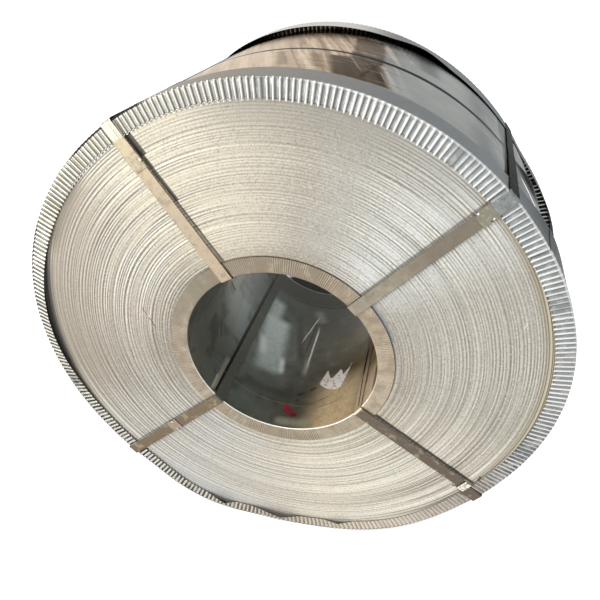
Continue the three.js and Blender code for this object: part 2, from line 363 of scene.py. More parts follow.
def spans(where):
    """The stretches of an outer ring between what holds it down, as (from, to, rise, peak)."""
    upper_left, upper_right, lower_right, lower_left = (STRAPS[k][where] for k in "1234")
    rises = RISES[where]
    return [
        (upper_left, upper_right, rises["top"], TOP_PEAK[where]),
        (upper_right, lower_right, rises["right"], 0.5),
        (lower_right, 180, rises["below"], 0.5),
        (180, lower_left, rises["lower_left"], 0.5),
        (lower_left, upper_left, rises["left"], 0.5),
    ]


def spring_off(turn, stretches):
    """How far a ring stands off its seat: rise sin(pi x^k)^STEEPNESS over each stretch, where x
    runs from GRIP after one hold to GRIP before the next and k puts the peak at its share."""
    off = np.zeros_like(turn)
    for start, end, rise, peak in stretches:
        x = np.mod(turn - start - GRIP, 360) / (np.mod(end - start, 360) - 2 * GRIP)
        shape = np.sin(np.pi * np.clip(x, 0, 1) ** (math.log(0.5) / math.log(peak)))
        off += np.where(x < 1, rise * np.maximum(shape, 0) ** STEEPNESS, 0)
    return off


def front_leg_lift(turn):
    """How far the front ring's face leg is bent off the strip's end at its inner edge: a tent at
    each crease near the floor, and one long soft rise on the left."""
    spot, height = LEFT_LIFT
    lift = height * hump(turn, *spot)
    for centre, height, before, after in CREASES:
        away = away_from(turn, centre)
        lift = np.maximum(lift, height * (1 - np.abs(away) / np.where(away < 0, before, after)))
    return lift


def pleat_wave(turn, seed):
    """The pleats' height from 0 in a valley to 1 on a crest: a sine pressed square by tanh, with
    each pleat's width shifted a little at random. The crests are narrowest over the top."""
    way = np.radians(turn)
    shift = 0.32 * round_drift(turn, PLEATS, seed)
    level = 0.12 + 0.2 * np.cos(way) + 0.2 * np.sin(way)
    level = level + 0.12 * round_drift(turn, PLEATS // 2, seed + 1)
    wave = np.tanh(PLEAT_EDGE * (np.sin(way * PLEATS + shift) - level))
    return 0.5 + 0.5 * wave / np.tanh(PLEAT_EDGE)


def bruises(turn, spots, seed):
    """1 where the pleats are whole, less where they are knocked flat: at given (turn, half width)
    spots, and a little here and there."""
    whole = 1 - 0.3 * smooth(round_drift(turn, 90, seed) * 2 - 0.8)
    rough = 0.55 + 0.35 * round_drift(turn, 230, seed + 1)
    for centre, half in spots:
        whole = whole * (1 - rough * hump(turn, centre, half, 1.4))
    return whole


def sheet_skins(radius, depth, normal, push, turn, side):
    """The two skins of a ring's sheet. Its section is a radius and a depth, each pushed along its
    normal, the second skin by a sheet less. The normal is the cosine of its angle outwards from
    the axis, then the sine away from the strip's middle."""
    outer, inner = (
        place(radius + normal[..., 0] * out, turn, side * (depth + normal[..., 1] * out))
        for out in (push, push - RING_SHEET)
    )
    return there_and_back(outer, inner)


def outer_ring(name, node, where, start, lap, leg_lift, flare, knocks, per_pleat, seed):
    """A strip of sheet bent to an L and carried round the coil from its start turn, on past a full
    turn by its lap. Its section is the face leg, a round bend and the side leg. The face leg is
    swung about the bend by leg_lift. The pleats push the section out along its normal, most at
    the face leg's edge and not at all on the side leg past the bend."""
    count = int(PLEATS * per_pleat * (360 + lap) / 360) + 1
    turn = start + np.arange(count)[:, None] * 360 / (PLEATS * per_pleat)
    wave = pleat_wave(turn, seed)
    size = 0.9 + 0.1 * round_drift(turn, PLEATS // 2, seed + 2)
    size = size * bruises(turn, knocks, seed + 3)
    angle = np.arcsin(leg_lift(turn) / FACE_LEG)

    # The section's columns: distances in along the face leg, shares of the bend, distances back
    # along the side leg
    reach = np.array([FACE_LEG, 41, 39, 34, 22, 10, BEND])
    round_bend = np.array([0.4, 0.75])
    drop = np.array([0, 2, 5, 12, 50, BEND_SEAT - SIDE_LEG_END])
    scallop = SCALLOP * (wave - 0.5) * smooth((reach - FACE_LEG) / SCALLOP_OVER + 1)
    past_bend = reach + scallop - BEND
    swing = side_by_side(turn, angle + 0 * reach, angle + (np.pi / 2 - angle) * round_bend,
                         np.pi / 2 + 0 * drop)
    normal = np.stack([np.sin(swing), np.cos(swing)], -1)
    radius = RING_SKIN + spring_off(turn, spans(where)) + BEND * (normal[..., 0] - 1)
    radius = radius + side_by_side(turn, -past_bend * np.cos(angle), 0 * round_bend,
                                   flare[1] * hump(turn, *flare[0]) * (drop / SIDE_LEG) ** 1.5)
    depth = BEND_SEAT + BEND * normal[..., 1]
    depth = depth + side_by_side(turn, past_bend * np.sin(angle), 0 * round_bend, -drop)
    face_push = PLEAT_DEPTH_AT_BEND + (PLEAT_DEPTH - PLEAT_DEPTH_AT_BEND) * reach / FACE_LEG
    push = side_by_side(turn, face_push, [1.5, 0.9], 0.4 * smooth(1 - drop / 14)) * wave * size
    push = push + smooth(1 - (turn - start - lap) / LAP_EASE)
    points = sheet_skins(radius, depth, normal, push, turn, FRONT if where == "front" else REAR)
    points[..., 2] = np.maximum(points[..., 2], 0)

    tones = {
        "crest": wave * size / 0.9,
        "lee": np.clip(np.roll(wave, 1, 0) - wave, 0, 1) * 2.2,
        "side": [0] * 7 + [0.3] * 2 + [1] * 6,
        "hem": [1, 0.8, 0.3] + [0] * 12,
        "bend": [0] * 6 + [1] * 4 + [0] * 5,
    }
    tones = {key: there_and_back(np.broadcast_to(v, radius.shape)) for key, v in tones.items()}
    tones["under"] = side_by_side(turn, 0 * swing, 1 + 0 * swing)
    shell(name, points, pleated_sheet(), closed=False, tones=tones,
          crease=75, stands_for=[node])


# ---------------------------------------------------------------- inner rings

CRIMPS = 340
STEPS_PER_CRIMP = 5


def inner_ring(name, node, side, seed):
    """A strip of sheet bent to an L round the bore's edge: side leg in the bore, round bend, and a
    flange on the strip's end whose fine crimps deepen outwards."""
    turn = np.arange(CRIMPS * STEPS_PER_CRIMP)[:, None] * 360 / (CRIMPS * STEPS_PER_CRIMP)
    shift = 0.6 * round_drift(turn, CRIMPS, seed)
    uneven = 0.5 + 0.5 * round_drift(turn, 40, seed + 1)
    wave = 0.5 + 0.5 * np.sin(np.radians(turn) * CRIMPS + shift)
    shown = 0.5 + (wave - 0.5) * smooth(1.3 * uneven + 0.8 * round_drift(turn, 150, seed + 2))
    hole = LINER_OUTSIDE - LINER_SHEET - GAP - RING_SHEET

    # The section's columns: the leg from its free edge, two steps of the bend, and the flange
    leg = np.array([SIDE_LEG, 60, 30, 8, 0]) * (BEND_SEAT - SIDE_LEG_END) / SIDE_LEG
    flange = np.array([0, 6, 16, 27, 37, FLANGE_RADIUS - hole - BEND])
    swing = np.radians([0] * 5 + [30, 60] + [90] * 6)
    normal = np.stack([-np.cos(swing), np.sin(swing)], -1)
    radius = hole + BEND * (1 - np.cos(swing)) + np.concatenate([np.zeros(7), flange])
    depth = BEND_SEAT + BEND * np.sin(swing) - np.concatenate([leg, np.zeros(8)])
    crimp = (0.4 + 0.8 * flange / FACE_LEG) * wave * (0.3 + 0.6 * uneven)
    push = side_by_side(turn, 0 * leg, 0.2 * wave * [1, 1], crimp)
    tones = {
        "crest": side_by_side(turn, [0.5] * 5, [0.7] * 2, shown + 0 * flange),
        "side": side_by_side(turn, [1] * 5, [0.5] * 2, 0 * flange),
    }
    tones = {key: there_and_back(v) for key, v in tones.items()}
    shell(name, sheet_skins(radius, depth, normal, push, turn, side), crimped_sheet(),
          tones=tones, crease=70, stands_for=[node])


# ---------------------------------------------------------------- straps and seals

STRAP_STEP = 7
CORNER_STEPS = 7
# Inwards from the edge ring: where a strap's buckle peaks and how far it reaches either way, and
# where its sway starts and over how far it comes in. Along the axis the sway comes in as well.
BUCKLE_AT, BUCKLE_REACH = 14, 26
SWAY_FROM, SWAY_OVER = 34, 40
SWAY_DEPTH, SWAY_DEPTH_OVER = 180, 120


def strap_route(strap):
    """A strap's closed path round the strip's section, a rectangle with round corners: points, the
    outward way at each, the way across and the distance along. Its steps are about STRAP_STEP,
    and less round the corners."""
    high, low = STRAP_OUTSIDE - STRAP_CORNER, STRAP_INSIDE + STRAP_CORNER
    end = STRAP_SEAT - STRAP_CORNER
    corners = [
        (high, -end, strap["front"], 0),
        (low, -end, strap["bore"], -90),
        (low, end, strap["bore"], -180),
        (high, end, strap["rear"], -270),
    ]
    facing = np.radians(np.concatenate([np.linspace(f, f - 90, CORNER_STEPS) for *_, f in corners]))
    radius, y, turn = (np.repeat([c[k] for c in corners], CORNER_STEPS) for k in range(3))
    way = np.radians(turn)
    outward = np.stack([np.sin(way), 0 * way, np.cos(way)], -1)
    out = outward * np.cos(facing)[:, None] + np.array([0, 1, 0]) * np.sin(facing)[:, None]
    across = np.stack([np.cos(way), 0 * way, -np.sin(way)], -1)
    points = place(radius, turn, y) + out * STRAP_CORNER
    whole = distances(points, True)
    steps = int(whole[-1] / STRAP_STEP)
    at = np.arange(steps) * whole[-1] / steps
    at = np.unique(np.concatenate([at, whole[:-1]]).round(3))
    closed = [np.concatenate([a, a[:1]]) for a in (points, out, across)]
    fine = [np.stack([np.interp(at, whole, a[:, k]) for k in range(3)], -1) for a in closed]
    return fine[0], unit(fine[1]), unit(fine[2]), at


def band_section(width, sheet):
    """A flat band's section with eased edges, as places across it and heights above its seat."""
    half = width / 2
    inset = [0.35 * sheet - half, 2 - half]
    top = np.array(inset + [-half * 2 / 3, -half / 3, 0, half / 3, half * 2 / 3]
                   + [-x for x in inset[::-1]])
    across = np.concatenate([top, [half, half], top[::-1], [-half, -half]])
    low, high = 0.35, 0.65
    height = np.concatenate([1 + 0 * top, [high, low], 0 * top, [low, high]]) * sheet
    return across, height


def strap(number, data):
    """A strap: its section is carried along its route. It wavers a little across and out, and
    takes a faint print of the pleats where it lies over the front ring."""
    points, out, way, at = strap_route(data)
    seed = STRAP_SEED + int(number)
    across, height = band_section(STRAP_WIDTH, STRAP_SHEET)
    from_axis = np.hypot(points[:, 0] - AXIS_X, points[:, 2] - AXIS_Z)[:, None]
    y = points[:, 1:2] - MID_Y
    ring_edge = RING_SKIN - FACE_LEG
    on_front = smooth((from_axis - ring_edge) / 3) * (y < 0)
    pleats = pleat_wave(np.degrees(across / RING_SKIN)[None, :] + data["front"], FRONT_SEED)
    crumple = 0.5 + 0.5 * drift(at[:, None], across[None, :] * 8, 9, 40, seed + 10)
    crossing = (data["print"] * pleats + data["crumple"] * crumple) * on_front
    waver = 0.15 * (1 + drift(at, 0 * at, 60, 1, seed))[:, None]
    tent = 1 - np.abs(from_axis - ring_edge + BUCKLE_AT) / BUCKLE_REACH
    buckle = data["buckle"] * np.maximum(tent, 0) * (y < 0)
    lift = height + crossing + (waver + buckle)
    swung = smooth((from_axis - ring_edge + SWAY_FROM) / SWAY_OVER)
    swung = swung * smooth((-SWAY_DEPTH - y) / SWAY_DEPTH_OVER)
    aside = across + data["sway"] * swung
    skin = points[:, None] + way[:, None] * aside[..., None] + out[:, None] * lift[..., None]
    on_face = on_front * (y < -END_DEPTH)
    tones = {
        "grey": smooth((from_axis - RING_SKIN + 2) / 2) * (np.abs(y) < END_DEPTH),
        "zinc": on_face * (data["crossing"] == "zinc"),
        "pale": on_face * (data["crossing"] == "pale"),
        "bore": from_axis < STRAP_INSIDE + 4,
        "rim": smooth((np.abs(across) - STRAP_WIDTH / 2 + 1.8) / 1.4),
        "crest": pleats,
    }
    tones = {key: np.broadcast_to(values, skin.shape[:2]) for key, values in tones.items()}
    shell("strap_band_" + number, skin, strap_sheet(), tones=tones, crease=40,
          stands_for=["strap_" + number])


# A seal's sleeve: half its width and thickness, its sheet at the sides and on the flats, how far
# a crimp presses each in, and the power that squares the section's corners
SEAL_HALF_WIDE, SEAL_HALF_THICK = 17.6, 1.9
SEAL_SIDE, SEAL_FLAT = 1.1, 0.8
CRIMP_IN, CRIMP_DOWN = 2.4, 0.9
SEAL_SQUARE = 0.35
# Half the length of a crimp's notch, and of the shade beside it, which lies this far back
NOTCH_HALF = 5
SHADE_HALF, SHADE_BACK = 3.5, 6.5


def seal(number, data):
    """A sleeve round the strap: a rounded rectangle section carried along it, pressed in at its
    crimps. Rows go round it, columns out along it and back."""
    outer = place(STRAP_OUTSIDE, data["front"], 0)
    inner = place(STRAP_INSIDE, data["bore"], 0)
    share = (STRAP_OUTSIDE - RING_SKIN + data["seal"]) / (STRAP_OUTSIDE - STRAP_INSIDE)
    middle = outer + (inner - outer) * share
    way_along = unit(outer - inner)
    way_across = np.array([way_along[2], 0, -way_along[0]])

    half = data["half"]
    along = np.linspace(-half, half, 33)[None, :]
    round_it = np.linspace(0, 2 * np.pi, 64, endpoint=False)[:, None]
    wide, thick = (np.sign(x) * np.abs(x) ** SEAL_SQUARE
                   for x in (np.cos(round_it), np.sin(round_it)))
    edge = smooth((np.abs(wide) - 0.5) / 0.4)
    notch, beside = 0 * wide * along, 0 * wide * along
    for spot, side in data["crimps"]:
        this_side = edge * (wide * side > 0)
        notch = notch + smooth(1 - np.abs(along - spot) / NOTCH_HALF) * this_side
        back = np.abs(along - spot + SHADE_BACK)
        beside = beside + smooth(1 - back / SHADE_HALF) * this_side
    half_wide = SEAL_HALF_WIDE - CRIMP_IN * notch
    half_thick = SEAL_HALF_THICK - CRIMP_DOWN * notch * (thick > 0)
    w = there_and_back(wide * half_wide, wide * (half_wide - SEAL_SIDE))
    h = there_and_back(thick * half_thick, thick * (half_thick - SEAL_FLAT))
    a = there_and_back(along) + 0 * round_it
    out = STRAP_SEAT + STRAP_SHEET / 2 + 0.2 + 0.75 * data["buckle"]
    points = middle + a[..., None] * way_along + w[..., None] * way_across
    points = points - (h + out)[..., None] * np.array([0, 1, 0])
    # Painted shade along the sleeve's inner end, with that beside the crimps, goes in the dark tone
    end_line = smooth((1.6 - half - along) / 1.2)
    tones = {"bright": there_and_back(notch), "dark": there_and_back(beside + end_line)}
    shell("seal_sleeve_" + number, points, seal_sheet(), tones=tones, crease=45,
          stands_for=["seal_" + number])


# ---------------------------------------------------------------- what lies in the bore

# The scrap's torn edges, as turns and places along the axis
SCRAP_FAR = ([140.2, 142.6, 146.2, 147.6, 149.2, 153.7, 156.0, 159.6, 163.4],
             [-100, -122, -146, -124, -112, -146, -148, -104, -164])
SCRAP_NEAR = [140.2, 145.5, 152, 158.4, 163.4], [-106, -204, -203, -190, -168]
# How far it lies off the liner, and how much more on its ripples
SCRAP_LIFT, SCRAP_RIPPLE = 1.2, 0.8


def paper_scrap():
    """A torn scrap of paper on the liner. The rows run round the bore between its torn edges."""
    turn = np.linspace(SCRAP_FAR[0][0], SCRAP_FAR[0][-1], 40)
    near, far = np.interp(turn, *SCRAP_NEAR), np.interp(turn, *SCRAP_FAR)
    ripple = SCRAP_RIPPLE * smooth(np.sin(turn) * 0.5 + 0.5)
    radius = LINER_OUTSIDE - LINER_SHEET - SCRAP_LIFT - ripple
    under = radius + PAPER_SHEET
    edges = [(radius, near), (radius, far), (under, far), (under, near)]
    points = np.stack([place(r, turn, y) for r, y in edges], 1)
    shell("paper_scrap", points, torn_paper(), closed=False, crease=30)


# ---------------------------------------------------------------- finishes

def colour(sheet_hex):
    """An sRGB hex value as linear red, green, blue and alpha."""
    channels = [int(sheet_hex[i:i + 2], 16) / 255 for i in (1, 3, 5)]
    return [c / 12.92 if c < 0.04045 else ((c + 0.055) / 1.055) ** 2.4 for c in channels] + [1.0]


def add(tree, kind, inputs=None, out=0, **settings):
    """Adds a node of a kind with its settings, fills its inputs by name or number from a socket or
    a value, and returns one of its output sockets, or the node where out is None."""
    node = tree.nodes.new("ShaderNode" + kind)
    for key, value in settings.items():
        setattr(node, key, value)
    for key, value in (inputs or {}).items():
        if isinstance(value, bpy.types.NodeSocket):
            tree.links.new(value, node.inputs[key])
        else:
            node.inputs[key].default_value = value
    return node if out is None else node.outputs[out]


def finish(name):
    """An empty material and its node tree."""
    made = bpy.data.materials.new(name)
    made.use_nodes = True
    made.node_tree.nodes.clear()
    return made, made.node_tree


def surface(tree, **sockets):
    """The shader and the output that end a material's tree."""
    shader = add(tree, "BsdfPrincipled", {k.replace("_", " "): v for k, v in sockets.items()})
    add(tree, "OutputMaterial", {"Surface": shader}, out=None)


def oiled_surface(tree, base, **sockets):
    """surface() under oil, which keeps metal near its own colour where it is seen at a low angle:
    the colour to the power LOW_ANGLE is its tint there."""
    low_angle = add(tree, "Gamma", {"Color": base, "Gamma": LOW_ANGLE})
    surface(tree, Base_Color=base, Specular_Tint=low_angle, **sockets)


LOW_ANGLE = 0.5


def coordinates(tree):
    """A tree's places about the coil's axis, from Object coordinates: the point in metres, the unit
    way out to it, and in millimetres its distance from the axis and its x, y and z from there."""
    seat = (-AXIS_X * MM, -MID_Y * MM, -AXIS_Z * MM)
    point = add(tree, "Mapping", {"Vector": add(tree, "TexCoord", out="Object"), "Location": seat})
    sized = add(tree, "VectorMath", {0: point, "Scale": 1 / MM}, operation="SCALE")
    flat = add(tree, "VectorMath", {0: sized, 1: (1, 0, 1)}, operation="MULTIPLY")
    radius = add(tree, "VectorMath", {0: flat}, out="Value", operation="LENGTH")
    way = add(tree, "VectorMath", {0: flat}, operation="NORMALIZE")
    x, y, z = add(tree, "SeparateXYZ", {0: sized}, out=None).outputs
    return SimpleNamespace(tree=tree, point=point, radius=radius, way=way, x=x, y=y, z=z)


def noises(at, *kinds):
    """Noise patterns of the point, each a scale per metre and a detail."""
    return [add(at.tree, "TexNoise", {"Vector": at.point, "Scale": scale, "Detail": detail})
            for scale, detail in kinds]


def tones_at(at, *names):
    """The mesh's own tones by name."""
    return [add(at.tree, "Attribute", out="Fac", attribute_name=name) for name in names]


def facing(at, turn):
    """The cosine of the angle between the way out and a turn's way."""
    way = (math.sin(math.radians(turn)), 0, math.cos(math.radians(turn)))
    return add(at.tree, "VectorMath", {0: at.way, 1: way}, out="Value", operation="DOT_PRODUCT")


def towards(at, turn, full, none):
    """1 within `full` degrees of a turn, and a fade to 0 at `none` degrees from it."""
    fade = {0: facing(at, turn), 1: math.cos(math.radians(none)), 2: math.cos(math.radians(full))}
    return add(at.tree, "MapRange", fade, interpolation_type="SMOOTHSTEP")


# Round sheets that are laid flat for their marks: the radius and the turn they are opened from
WRAP_PLAN = (681, 0)
BORE_PLAN = (252.6, 180)
# The noise that frays their marks: its scale per metre, and its span either way as a share
FRAY_SCALE, FRAY_SPAN = 26.0, 0.25


def unrolled(at, radius, from_turn, ragged):
    """A round sheet laid flat, in millimetres: x is the way round from a turn, y the way along the
    axis. A noise moves the points by up to `ragged`, so that marks on it have uneven edges."""
    ahead, aside = facing(at, from_turn), facing(at, from_turn + 90)
    turn = add(at.tree, "Math", {0: aside, 1: ahead}, operation="ARCTAN2")
    around = add(at.tree, "Math", {0: turn, 1: radius}, operation="MULTIPLY")
    flat = add(at.tree, "CombineXYZ", {"X": around, "Y": at.y})
    noise = add(at.tree, "TexNoise", {"Vector": at.point, "Scale": FRAY_SCALE,
                                      "Detail": 2.0}, out="Color")
    centred = add(at.tree, "VectorMath", {0: noise, 1: (0.5, 0.5, 0.5)}, operation="SUBTRACT")
    moved = ragged / FRAY_SPAN
    return add(at.tree, "VectorMath", {0: centred, 1: (moved, moved, 0), 2: flat},
               operation="MULTIPLY_ADD")


def distance_from(at, value, centre):
    """How far a value is from a centre value, either way."""
    off = add(at.tree, "Math", {0: value, 1: centre}, operation="SUBTRACT")
    return add(at.tree, "Math", {0: off}, operation="ABSOLUTE")


def on_sheet(radius, from_turn, y, turn):
    """A place along the axis and a turn as a point of unrolled()."""
    return math.radians((turn - from_turn + 180) % 360 - 180) * radius, y


on_wrap, in_bore = partial(on_sheet, *WRAP_PLAN), partial(on_sheet, *BORE_PLAN)


def on_end(radius, turn):
    """A radius and a turn as a point of the end's plan, x to the right and y up from the axis."""
    return radius * math.sin(math.radians(turn)), radius * math.cos(math.radians(turn))


def stain(at, base, tint, value, low, high, most=1.0, within=None):
    """Lays a colour over a base as a value goes from low to high, up to a share of `most`. A
    (turn, full, none) in place of a value or a within stands for towards() it."""
    value, within = (towards(at, *x) if isinstance(x, tuple) else x for x in (value, within))
    share = add(at.tree, "MapRange", {0: value, 1: low, 2: high, 4: most},
                interpolation_type="SMOOTHSTEP")
    if within is not None:
        share = add(at.tree, "Math", {0: share, 1: within}, operation="MULTIPLY")
    tint = colour(tint) if isinstance(tint, str) else tint
    return add(at.tree, "Mix", {0: share, 6: base, 7: tint}, out=2, data_type="RGBA")


def stains(at, base, *rows):
    """Lays stain() after stain() over a base, each row with what follows the base there."""
    for row in rows:
        base = stain(at, base, *row)
    return base


def stroke(at, base, plan, tint, start, end, width, soft, ends, most=1.0, within=1.0):
    """A straight stroke of colour on a plan. It fades over the outer `soft` share of its half
    width and over the last `ends` share of its half length."""
    run, rise = end[0] - start[0], end[1] - start[1]
    local = add(at.tree, "Mapping", {
        "Vector": plan,
        "Location": ((start[0] + end[0]) / 2, (start[1] + end[1]) / 2, 0),
        "Rotation": (0, 0, math.atan2(rise, run)),
        "Scale": (math.hypot(run, rise) / 2, width / 2, 1),
    }, vector_type="TEXTURE")
    size = add(at.tree, "VectorMath", {0: local}, operation="ABSOLUTE")
    along, across, _ = add(at.tree, "SeparateXYZ", {0: size}, out=None).outputs
    lengthwise = add(at.tree, "MapRange", {0: along, 1: 1.0, 2: 1 - ends},
                     interpolation_type="SMOOTHSTEP")
    share = add(at.tree, "Math", {0: lengthwise, 1: within}, operation="MULTIPLY")
    return stain(at, base, tint, across, 1.0, 1 - soft, most, share)


def strokes(at, base, plan, on_plan, rows, within=1.0):
    """Lays stroke() after stroke() over a base. A row has the colour, the start and the end as
    on_plan takes them, the width in mm, the soft share, the ends share and the most."""
    for tint, start, end, *form in rows:
        base = stroke(at, base, plan, tint, on_plan(*start), on_plan(*end), *form, within)
    return base


def tones_round(at, stops):
    """A colour that changes with the turn. Stops are (turn, hex), from -180 to 180."""
    x, _, z = add(at.tree, "SeparateXYZ", {0: at.way}, out=None).outputs
    turn = add(at.tree, "Math", {0: x, 1: z}, operation="ARCTAN2")
    share = add(at.tree, "MapRange", {0: turn, 1: -math.pi, 2: math.pi})
    node = add(at.tree, "ValToRGB", {0: share}, out=None)
    elements = node.color_ramp.elements
    for turn_at, _ in stops[1:-1]:
        elements.new((turn_at + 180) / 360)
    for element, (_, tint) in zip(elements, stops):
        element.color = colour(tint)
    return node.outputs[0]


def turn_lines(at, spacing, changes):
    """Noise drawn out round the axis: a line about every `spacing` mm of radius, which changes
    about `changes` times on its way round."""
    outward = add(at.tree, "Math", {0: at.bent, 1: 1 / spacing}, operation="MULTIPLY")
    outward = add(at.tree, "CombineXYZ", {"Y": outward})
    vector = add(at.tree, "VectorMath", {0: at.way, 1: (changes / 6,) * 3, 2: outward},
                 operation="MULTIPLY_ADD")
    return add(at.tree, "TexNoise", {"Vector": vector, "Scale": 1.0, "Detail": 0.0})


def turn_ripple(at, spacing):
    """From -1 to 1, a line about every `spacing` mm of radius: the sine of a phase that grows with
    the radius and that a noise moves about. Another noise makes it fainter here and there."""
    wander = turn_lines(at, 2.6 * spacing, 2.5)
    wander = add(at.tree, "Math", {0: wander, 1: 3.2 * math.pi}, operation="MULTIPLY")
    phase = add(at.tree, "Math", {0: at.bent, 1: 2 * math.pi / spacing, 2: wander},
                operation="MULTIPLY_ADD")
    wave = add(at.tree, "Math", {0: phase}, operation="SINE")
    depth = turn_lines(at, 2.0 * spacing, 16)
    depth = add(at.tree, "MapRange", {0: depth, 1: 0.38, 2: 0.60, 3: 0.35, 4: 1.0})
    return add(at.tree, "Math", {0: wave, 1: depth}, operation="MULTIPLY")


# The colour round the end: the steel's warm grey, lightened and darkened by turn as painted light
# and shade, lightest towards the bottom
END_TONES_AND_LIGHT = [
    (-180, "#D9D0BD"), (-150, "#BAB9B6"), (-112, "#8A8274"), (-80, "#A89B89"), (-56, "#CBBFAC"),
    (-34, "#F2E6C6"), (-10, "#E0D6C0"), (8, "#BCB5A7"), (22, "#C4C1B9"), (38, "#F4FAF9"),
    (60, "#BCB7AD"), (80, "#BBB5AA"), (100, "#B4ADA0"), (118, "#D3C9B7"), (142, "#FFF7DE"),
    (156, "#FFF6DC"), (168, "#F8ECD2"), (180, "#D9D0BD"),
]
# How clearly the turns show round the end, as greys
END_LINES = [
    (-180, "#C0C0C0"), (-150, "#A8A8A8"), (-118, "#A8A8A8"), (-95, "#C8C8C8"), (-62, "#FFFFFF"),
    (-34, "#FFFFFF"), (-20, "#C0C0C0"), (-8, "#909090"), (4, "#808080"), (18, "#505050"),
    (26, "#E0E0E0"), (40, "#FFFFFF"), (46, "#E8E8E8"), (54, "#A0A0A0"), (66, "#A0A0A0"),
    (90, "#C8C8C8"), (112, "#D8D8D8"), (132, "#FFFFFF"), (150, "#F0F0F0"), (180, "#C0C0C0"),
]
# Kinds of turn line: mm of radius from one to the next, and changes on the way round
BUNDLES, LINES, HAIR = (24.0, 5), (3.0, 3.0), (1.9, 4.0)
SEAMS, FADING = (5.2, 1.5), (40.0, 20)
# Mm of radius between ripples in the upper and the lower half
UPPER_RIPPLE, LOWER_RIPPLE = 7.2, 12.5


def slit_edges():
    """Slit cold-rolled strip seen on its edges: cut steel, matt, in its own warm grey. Its dark and
    pale lines are partly painted shade in the crevices between turns and painted highlights on
    proud ones. Real turns are 1 mm apart, too fine to show, so the lines stand for bundles of 3
    to 8 turns."""
    made, tree = finish("slit_edges_of_cold_rolled_strip")
    at = coordinates(tree)
    sway = add(tree, "TexNoise", {"Vector": at.way, "Scale": 0.9, "Detail": 1.0})
    at.bent = add(tree, "Math", {0: sway, 1: 16.0, 2: at.radius}, operation="MULTIPLY_ADD")
    bundles, lines, hair, seams, fading = (
        turn_lines(at, *kind) for kind in (BUNDLES, LINES, HAIR, SEAMS, FADING))
    grain, specks = noises(at, (300.0, 2.0), (330.0, 0.0))
    lined = add(tree, "MapRange", {0: at.radius, 1: 310.0, 2: 430.0, 3: 0.55, 4: 1.0})
    lined = add(tree, "Math", {0: lined, 1: tones_round(at, END_LINES)}, operation="MULTIPLY")
    shown = add(tree, "MapRange", {0: fading, 1: 0.36, 2: 0.58, 3: 0.8, 4: 1.0})
    shown = add(tree, "Math", {0: shown, 1: lined}, operation="MULTIPLY")
    low_down = add(tree, "MapRange", {0: at.z, 1: 60.0, 2: -240.0})
    high_up = add(tree, "Math", {0: lined, 1: low_down}, operation="SUBTRACT", use_clamp=True)
    rough = add(tree, "MapRange", {0: low_down, 3: 0.4, 4: 1.0})
    shown = add(tree, "Math", {0: rough, 1: shown}, operation="MULTIPLY")
    rough = add(tree, "Math", {0: rough, 1: lined}, operation="MULTIPLY")
    upper, lower = turn_ripple(at, UPPER_RIPPLE), turn_ripple(at, LOWER_RIPPLE)
    seam = distance_from(at, seams, 0.5)
    base = stains(
        at, tones_round(at, END_TONES_AND_LIGHT),
        ("#9C907C", at.radius, 352, 298, 0.5),
        ("#8A7F6D", at.radius, 420, 330, 0.5, (-72, 26, 50)),
        ("#A79D8C", bundles, 0.45, 0.62, 0.1),
        ("#E4DDCF", bundles, 0.5, 0.34, 0.1),
        # The turns' dark and pale lines: partly painted shade in the crevices and painted
        # highlights on proud turns
        ("#4C4336", upper, 0.2, 0.75, 0.85, high_up),
        ("#FFFBEF", upper, 0.05, -0.55, 1.0, high_up),
        ("#4C4336", lower, 0.4, 0.95, 0.3, low_down),
        ("#FFFBEF", lower, 0.1, -0.7, 0.7, low_down),
        ("#4C4336", lines, 0.53, 0.60, 0.18, shown),
        ("#FFFBEF", lines, 0.50, 0.42, 0.22, shown),
        ("#5C5243", hair, 0.53, 0.58, 0.65, rough),
        ("#FFFBEF", hair, 0.50, 0.44, 0.6, rough),
        ("#3B332A", seam, 0.035, 0.012, 0.6, shown),
        ("#7D7465", grain, 0.54, 0.70, 0.45),
        ("#F4EFE4", grain, 0.46, 0.30, 0.4),
        ("#4A4236", specks, 0.82, 0.84, 0.7),
    )
    base = end_marks(at, lines, base)
    height = add(tree, "Math", {0: lines, 1: 0.6, 2: hair}, operation="MULTIPLY_ADD")
    normal = add(tree, "Bump", {"Height": height, "Strength": 0.3, "Distance": 0.001})
    surface(tree, Base_Color=base, Metallic=0.25, Roughness=0.55, Normal=normal)
    return made


